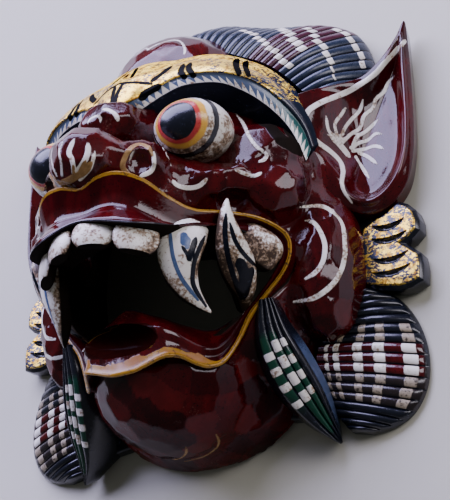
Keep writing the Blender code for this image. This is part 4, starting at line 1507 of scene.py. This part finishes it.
# %% [markdown]
# ## The fans of hair
#
# Four fans of ribbed black hair frame the face, two at the crown and two at the jaw. Each rib is
# a gouged strand. A grid is bent between an inner and an outer curve, the ribs swell between
# narrow grooves, and each point stores its rib and its share of the way out, so that checks of
# white paint can sit on single ribs.

# %% Name the curves of the fans
CROWN_INNER = [(7, 112, 44), (24, 106, 43), (40, 97, 42), (56, 87, 41), (67, 77, 37),
               (74, 68, 33), (82, 61, 29)]
CROWN_OUTER = [(7, 133, 25), (22, 134, 24), (38, 130, 20), (52, 126, 17), (65, 124, 14.5),
               (78, 121, 13), (88, 116.5, 11), (97.5, 108, 10), (102.5, 95, 9),
               (104.5, 81, 8.5), (102, 66, 9)]
JAW_INNER = [(93, -43, 14), (84, -54, 16), (76, -64, 17), (70, -73, 18), (70, -84, 17),
             (73, -95, 14), (77, -106, 9), (81, -112, 6.5)]
JAW_OUTER = [(99, -42.5, 6), (109, -48.5, 5.5), (117.5, -62, 5), (121.5, -78, 5),
             (120, -94, 5), (113, -106, 5), (103, -112, 5), (91, -114, 5.5)]
CROWN_RIBS, JAW_RIBS = 22, 17


def evenly(points, count):
    """Points at equal distances along a polyline."""
    runs = np.cumsum([0.0] + [(b - a).length for a, b in zip(points, points[1:])])
    at = np.linspace(0.0, runs[-1], count)
    corners = np.array([list(p) for p in points])
    return [Vector([np.interp(s, runs, corners[:, k]) for k in range(3)]) for s in at]


print("ribs:", 2 * CROWN_RIBS, "at the crown and", 2 * JAW_RIBS, "at the jaw")

# %% Carve the fans
GROOVE_DEEP, RIM_FALL = 1.7, 2.2


def fan(inner, outer, ribs, swell, base):
    """A shell of rounded ribs from the inner curve to the outer one."""
    per_rib, out_steps = 10, 46
    inner = evenly(rounded(mm(inner), 12), ribs * per_rib + 1)
    outer = evenly(rounded(mm(outer), 12), ribs * per_rib + 1)
    bm = bmesh.new()
    rib_layer = bm.verts.layers.float.new("rib")
    out_layer = bm.verts.layers.float.new("way_out")
    bmesh.ops.create_grid(bm, x_segments=ribs * per_rib, y_segments=out_steps, size=0.5)
    for vert in bm.verts:
        i = round((vert.co.x + 0.5) * ribs * per_rib)
        t = vert.co.y + 0.5
        vert[rib_layer], vert[out_layer] = i / per_rib, t
        point = inner[i].lerp(outer[i], t)
        round_rib = abs(math.sin(math.pi * i / per_rib)) ** 0.55
        ends = min(1.0, (1.0 - t) * 9 + 0.12)
        fall = RIM_FALL * (1 - min(1.0, (1.0 - t) * 12)) ** 2
        groove = GROOVE_DEEP * ends * (round_rib - 1.0)
        point.z += MM * (swell * math.sin(math.pi * t) + groove - fall)
        vert.co = point
    shell_rim = [edge for edge in bm.edges if edge.is_boundary]
    grown = bmesh.ops.extrude_edge_only(bm, edges=shell_rim)["geom"]
    for item in grown:
        if isinstance(item, bmesh.types.BMVert):
            item.co.z = base * MM
            item[out_layer] = 1.1
    open_edges = [edge for edge in bm.edges if edge.is_boundary]
    bmesh.ops.holes_fill(bm, edges=open_edges, sides=0)
    bmesh.ops.recalc_face_normals(bm, faces=bm.faces)
    return both_sides(bm)


print("grooves between the ribs, mm deep:", GROOVE_DEEP)


# %% Place the white checks on the ribs
def mark_checks(made, name, checks, rib_wide, rib_long):
    """Stores the distance to the nearest check. A row is (first rib, last rib, half, path).

    The path gives the share of the way out at some ribs, and half is half a check's share.
    """
    rib, way_out = read(made, "rib"), read(made, "way_out")
    number = np.floor(rib)
    aside = (np.abs(rib - number - 0.5) - 0.43) * rib_wide
    nearest = np.full(len(rib), FAR_OFF)
    for first, last, half, path in checks:
        ribs, shares = zip(*path)
        jitter = 0.012 * np.sin(number * 2.3 + first)
        centre = np.interp(number + 0.5, ribs, shares) + jitter
        longways = (np.abs(way_out - centre) - half) * rib_long
        check = np.maximum(aside, longways)
        check[(number < first) | (number > last) | (way_out > 1.01)] = FAR_OFF
        nearest = np.minimum(nearest, check)
    store(made, name, nearest)
    print("checks:", made.name, name, len(checks), "rows")


def on_ribs(f, first, last, fill=0.43):
    """1 on the ribs from first to last, counted from 0, and 0 in the grooves."""
    rib = f.stored("rib")
    inside = abs(rib % 1.0 - 0.5).below(fill, 0.06)
    return rib.above(first, 0.02) * rib.below(last + 1, 0.02) * inside


print("checks reach", FAR_OFF, "mm")

# %% Paint the jaw fans
f = Finish("jaw_hair", roughness=0.2)
rib, way_out = f.stored("rib"), f.stored("way_out")
black, white, red = ink(f), enamel(f, 0.1), lacquer(f)
rubbed = f.noise(1.6, 3.0).above(0.42, 0.2)
aged_white = (f.mix(rubbed, (0.030, 0.022, 0.013), (0.30, 0.25, 0.17)), white[1] + 0.1, white[2])
brown = (f.mix(f.noise(5.0, 4.0), (0.004, 0.003, 0.003), (0.030, 0.018, 0.012)),
         *black[1:])
now = over(f, on_ribs(f, 9, 12) * 0.7, black, brown)
now = over(f, on_ribs(f, 7, 9) * way_out.below(0.97, 0.02), now, red)
now = over(f, f.line("aged_check", 0.35), now, aged_white)
now = over(f, f.line("white_check", 0.3), now, white)
jaw_finish = f.show(now)
jaw_mesh = fan(JAW_INNER, JAW_OUTER, JAW_RIBS, swell=3.5, base=1.5)
jaw_fans = piece("jaw_fans", jaw_mesh, jaw_finish, angle=40)
JAW_COLUMNS = ((0.09, 0.020), (0.19, 0.030), (0.40, 0.045), (0.595, 0.052), (0.862, 0.062))
mark_checks(jaw_fans, "white_check", [
    (7, 9, half, [(5, at), (12, at)]) for at, half in JAW_COLUMNS], rib_wide=4.4, rib_long=45.0)
mark_checks(jaw_fans, "aged_check", [
    (first, last, half * 0.9, [(5, at), (12, at)]) for at, half in JAW_COLUMNS
    for first, last in ((5, 6), (10, 12))], rib_wide=4.4, rib_long=45.0)

# %% Paint the crown fans
f = Finish("crown_hair", roughness=0.2)
black, white = ink(f), enamel(f, 0.0)
slate = (f.mix(f.noise(7.0, 4.0), (0.005, 0.009, 0.018), (0.016, 0.028, 0.052)),
         black[1] + 0.08, black[2])
purple = (f.mix(f.noise(6.0), (0.035, 0.005, 0.012), (0.070, 0.016, 0.030)), *black[1:])
now = over(f, on_ribs(f, 0, 21), black, slate)
now = over(f, on_ribs(f, 10, 14), now, purple)
now = over(f, f.line("white_check", 0.3), now, white)
crown_finish = f.show(now)
crown_mesh = fan(CROWN_INNER, CROWN_OUTER, CROWN_RIBS, swell=6, base=2.5)
crown_fans = piece("crown_fans", crown_mesh, crown_finish, angle=40)
mark_checks(crown_fans, "white_check", [
    (5, 15, 0.040, [(5, 0.70), (7.4, 0.543), (8.8, 0.413), (10.4, 0.304), (11.6, 0.239),
                    (12.7, 0.196), (13.8, 0.152), (14.8, 0.13), (15.6, 0.12)]),
    (8, 14, 0.050, [(8.5, 0.80), (9.5, 0.717), (10.9, 0.60), (12.3, 0.49), (13.9, 0.425),
                    (15.0, 0.37)]),
    (11, 17, 0.034, [(11.0, 0.84), (11.9, 0.761), (13.6, 0.652), (14.6, 0.60),
                     (15.3, 0.587), (17.0, 0.565)]),
    (18, 19, 0.014, [(18.0, 0.54), (19.0, 0.52)]),
    (13, 18, 0.030, [(12.5, 0.94), (14.8, 0.90), (17.7, 0.905)]),
], rib_wide=5.5, rib_long=45.0)

# %% [markdown]
# ## The long leaves
#
# A long green leaf with four checked ribs hangs from under each cheek over the hair. A section
# with the ribs in it is swept along the leaf's spine, and it widens and narrows as it goes. The
# ribs are of unequal width, as a hand cuts them. The flank beside the jaw fan is slate blue.

# %% Carve the long leaves
LEAF = [(60, -54, 50), (60.5, -70, 45), (63.5, -84, 37.5), (67.5, -97, 27), (71, -107, 17),
        (76, -116.5, 7.5)]
LEAF_RIBS, LEAF_RIB_STEPS = 4, 12
RIB_EDGES = (0.0, 1.4, 2.5, 3.3, 4.0)
LEAF_TILT = Vector((-0.37, 0.40, -0.84))
LEAF_TIP, LEAF_WIDE, FLANK_HIGH, LEAF_THICK = 1.0, 11.5, 6, 22

strand = [k / LEAF_RIB_STEPS for k in range(LEAF_RIBS * LEAF_RIB_STEPS + 1)]
leaf_rings, leaf_way = [], []
spine = rounded(mm(LEAF), 14)
for i, point in enumerate(spine):
    t = i / (len(spine) - 1)
    width = LEAF_TIP + LEAF_WIDE * math.sin(math.pi * min(1.0, 0.08 + 0.92 * t)) ** 0.8
    ahead = spine[min(i + 1, len(spine) - 1)] - spine[max(i - 1, 0)]
    side = ahead.cross(LEAF_TILT).normalized() * MM
    rise = ahead.cross(side).normalized() * MM
    if rise.z < 0:
        rise = -rise
    ring = [point - side * width - rise * FLANK_HIGH]
    for k in strand:
        share = np.interp(k, range(LEAF_RIBS + 1), RIB_EDGES) / 2 - 1
        lift = 2.8 - 1.5 * (1 - abs(math.sin(math.pi * k)) ** 0.6) - 0.8 * share * share
        ring.append(point + side * width * share * 0.72 + rise * lift)
    ring.append(point + side * width - rise * FLANK_HIGH)
    ring.append(point + side * width * 0.8 - rise * LEAF_THICK)
    ring.append(point - side * width * 0.8 - rise * LEAF_THICK)
    for k, p in enumerate(ring):
        p.z = max(p.z, (1 if k >= len(ring) - 2 else 3) * MM)
    leaf_rings.append(ring)
    leaf_way.append(t)
count = len(leaf_rings[0])
leaf_mesh = skin(leaf_rings, {
    "rib": [[-1.0, *strand, 5.0, 5.5, -1.5]] * len(leaf_rings),
    "way_out": [[t] * count for t in leaf_way],
})
leaf_mesh = both_sides(leaf_mesh)
print("leaf sections:", len(leaf_rings))

# %% Paint the long leaves
f = Finish("green_leaf", roughness=0.2)
rib, way_out = f.stored("rib"), f.stored("way_out")
black, white = ink(f), enamel(f, 0.15)
green = (f.mix(f.noise(12.0), (0.0012, 0.020, 0.009), (0.003, 0.048, 0.024)),
         *black[1:])
green_part = (on_ribs(f, 0, 0, 0.40) * way_out.below(0.62, 0.2)
              + on_ribs(f, 1, 1, 0.44) * way_out.below(0.90, 0.04)
              + on_ribs(f, 2, 2, 0.42) * way_out.above(0.32, 0.04) * way_out.below(0.86, 0.04))
slate = (f.mix(f.noise(6.0, 4.0), (0.020, 0.032, 0.065), (0.075, 0.110, 0.200)),
         black[1] + 0.1, black[2])
flank = rib.above(4.15, 0.2) * way_out.above(0.32, 0.2) * way_out.below(0.86, 0.2)
now = over(f, flank, black, slate)
now = over(f, green_part * way_out.above(0.20, 0.06), now, green)
now = over(f, f.line("white_check", 0.3), now, white)
now = bare_back(f, now)
leaf_finish = f.show(now)
leaves = piece("long_leaves", leaf_mesh, leaf_finish, angle=40)
LEAF_CHECKS = ((0, (0.32, 0.41, 0.505, 0.62), 0.022), (1, (0.28, 0.38, 0.485, 0.60), 0.035),
               (2, (0.27, 0.38, 0.48, 0.58), 0.026))
mark_checks(leaves, "white_check", [
    (number, number, half, [(0, at), (4, at)]) for number, ways, half in LEAF_CHECKS
    for at in ways], rib_wide=5.0, rib_long=78.0)
hollow_out(leaves)

# %% [markdown]
# ## Crest and backing
#
# A plain green leaf stands between the crown fans. Behind everything lies a thin black board of
# the same wood, which joins fans, ears and head into one carving. Both are flat outlines with a
# rounded chamfer, made as the pendants are.

# %% Cut the crest leaf and the backing board
CREST = [(0, 136.7), (6, 135.7), (14, 131), (19, 124), (20, 112), (16, 102), (0, 98)]
BACKING = [(0, 110), (30, 118), (68, 100), (90, 72), (98, 40), (99, 0), (98, -42), (90, -70),
           (82, -100), (68, -104), (40, -100), (0, -90)]


def whole_outline(half):
    """An outline and its mirror image in one."""
    return half + [(-x, y) for x, y in reversed(half) if x > 0]


f = Finish("crest_green", roughness=0.2)
black = ink(f)
shade = f.mix(f.noise(10.0, 4.0), (0.004, 0.060, 0.055), (0.012, 0.13, 0.10))
now = over(f, f.axis("Z").above(24.0, 1.0), black, (shade, *black[1:]))
crest_finish = f.show(now)
crest_mesh = flat_form(whole_outline(CREST), top=27, base=3, chamfer=3.5)
crest = piece("crest_leaf", crest_mesh, crest_finish, angle=30)

f = Finish("black_board", roughness=0.3)
now = ink(f)
board_finish = f.show((now[0], now[1] + 0.15, now[2]))
board_mesh = flat_form(whole_outline(BACKING), top=8, base=1, chamfer=0.8)
board = piece("backing", board_mesh, board_finish, angle=30)
cut(board, HOLLOW_NAMES)

# %% [markdown]
# ## Floor and light
#
# The mask lies face up on a pale floor, as it would on a photographer's table. A large cool panel
# stands on the crown side, because the lacquer in the photograph mirrors a bluish sky there. A
# weak one stands on the right, and the dim grey world fills the shadows. A brighter world would
# lay a veil over the dark lacquer, because a gloss mirrors whatever stands round it.

# %% Lay the floor
bm = bmesh.new()
bmesh.ops.create_grid(bm, x_segments=2, y_segments=2, size=3.0)
floor = put("floor", as_mesh("floor", bm))
f = Finish("pale_floor", roughness=0.8)
cloud = f.noise(60.0, 4.0)
plaster = f.mix(cloud, (0.46, 0.45, 0.36), (0.52, 0.51, 0.405))
floor.data.materials.append(f.show((plaster, cloud * 0.1 + 0.75, None)))


# %% Hang the lights
def panel(name, place, size, power, colour):
    """A lit rectangle that faces the mask."""
    light = bpy.data.lights.new(name, "AREA")
    light.shape, light.size, light.size_y = "RECTANGLE", *size
    light.energy, light.color = power, colour
    made = put(name, light)
    made.location = place
    made.rotation_euler = (-Vector(place)).to_track_quat("-Z", "Y").to_euler()


panel("sky", place=(-0.5, 1.25, 1.1), size=(2.4, 1.6), power=170.0, colour=(0.60, 0.58, 1.0))
panel("side", place=(1.5, 0.35, 0.9), size=(0.8, 1.0), power=20.0, colour=(0.95, 0.90, 1.0))
world = bpy.data.worlds.new("studio")
world.use_nodes = True
background = world.node_tree.nodes["Background"]
background.inputs["Color"].default_value = (0.78, 0.80, 0.86, 1.0)
background.inputs["Strength"].default_value = 0.15
bpy.context.scene.world = world

# %% [markdown]
# ## Handing over
#
# The finer skin is kept within the box of the plain block: the last hair's breadth is pressed back.
# Then the cutting forms go, every piece is told what it rides on, and the plain part is hidden. The
# box of the plain block is printed.

# %% Hand the pieces over
for made in pieces:
    move(made, np.clip(places(made) * MM, *map(np.array, cad_box)))
for made in cutting_tools.values():
    bpy.data.objects.remove(made, do_unlink=True)
for made in pieces:
    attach(made, BODY)
    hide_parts(NODE)
    triangles = sum(len(p.vertices) - 2 for p in made.data.polygons)
    print("piece:", made.name, triangles, "triangles")

print("CAD box, mm:", [[round(c / MM, 1) for c in corner] for corner in cad_box])
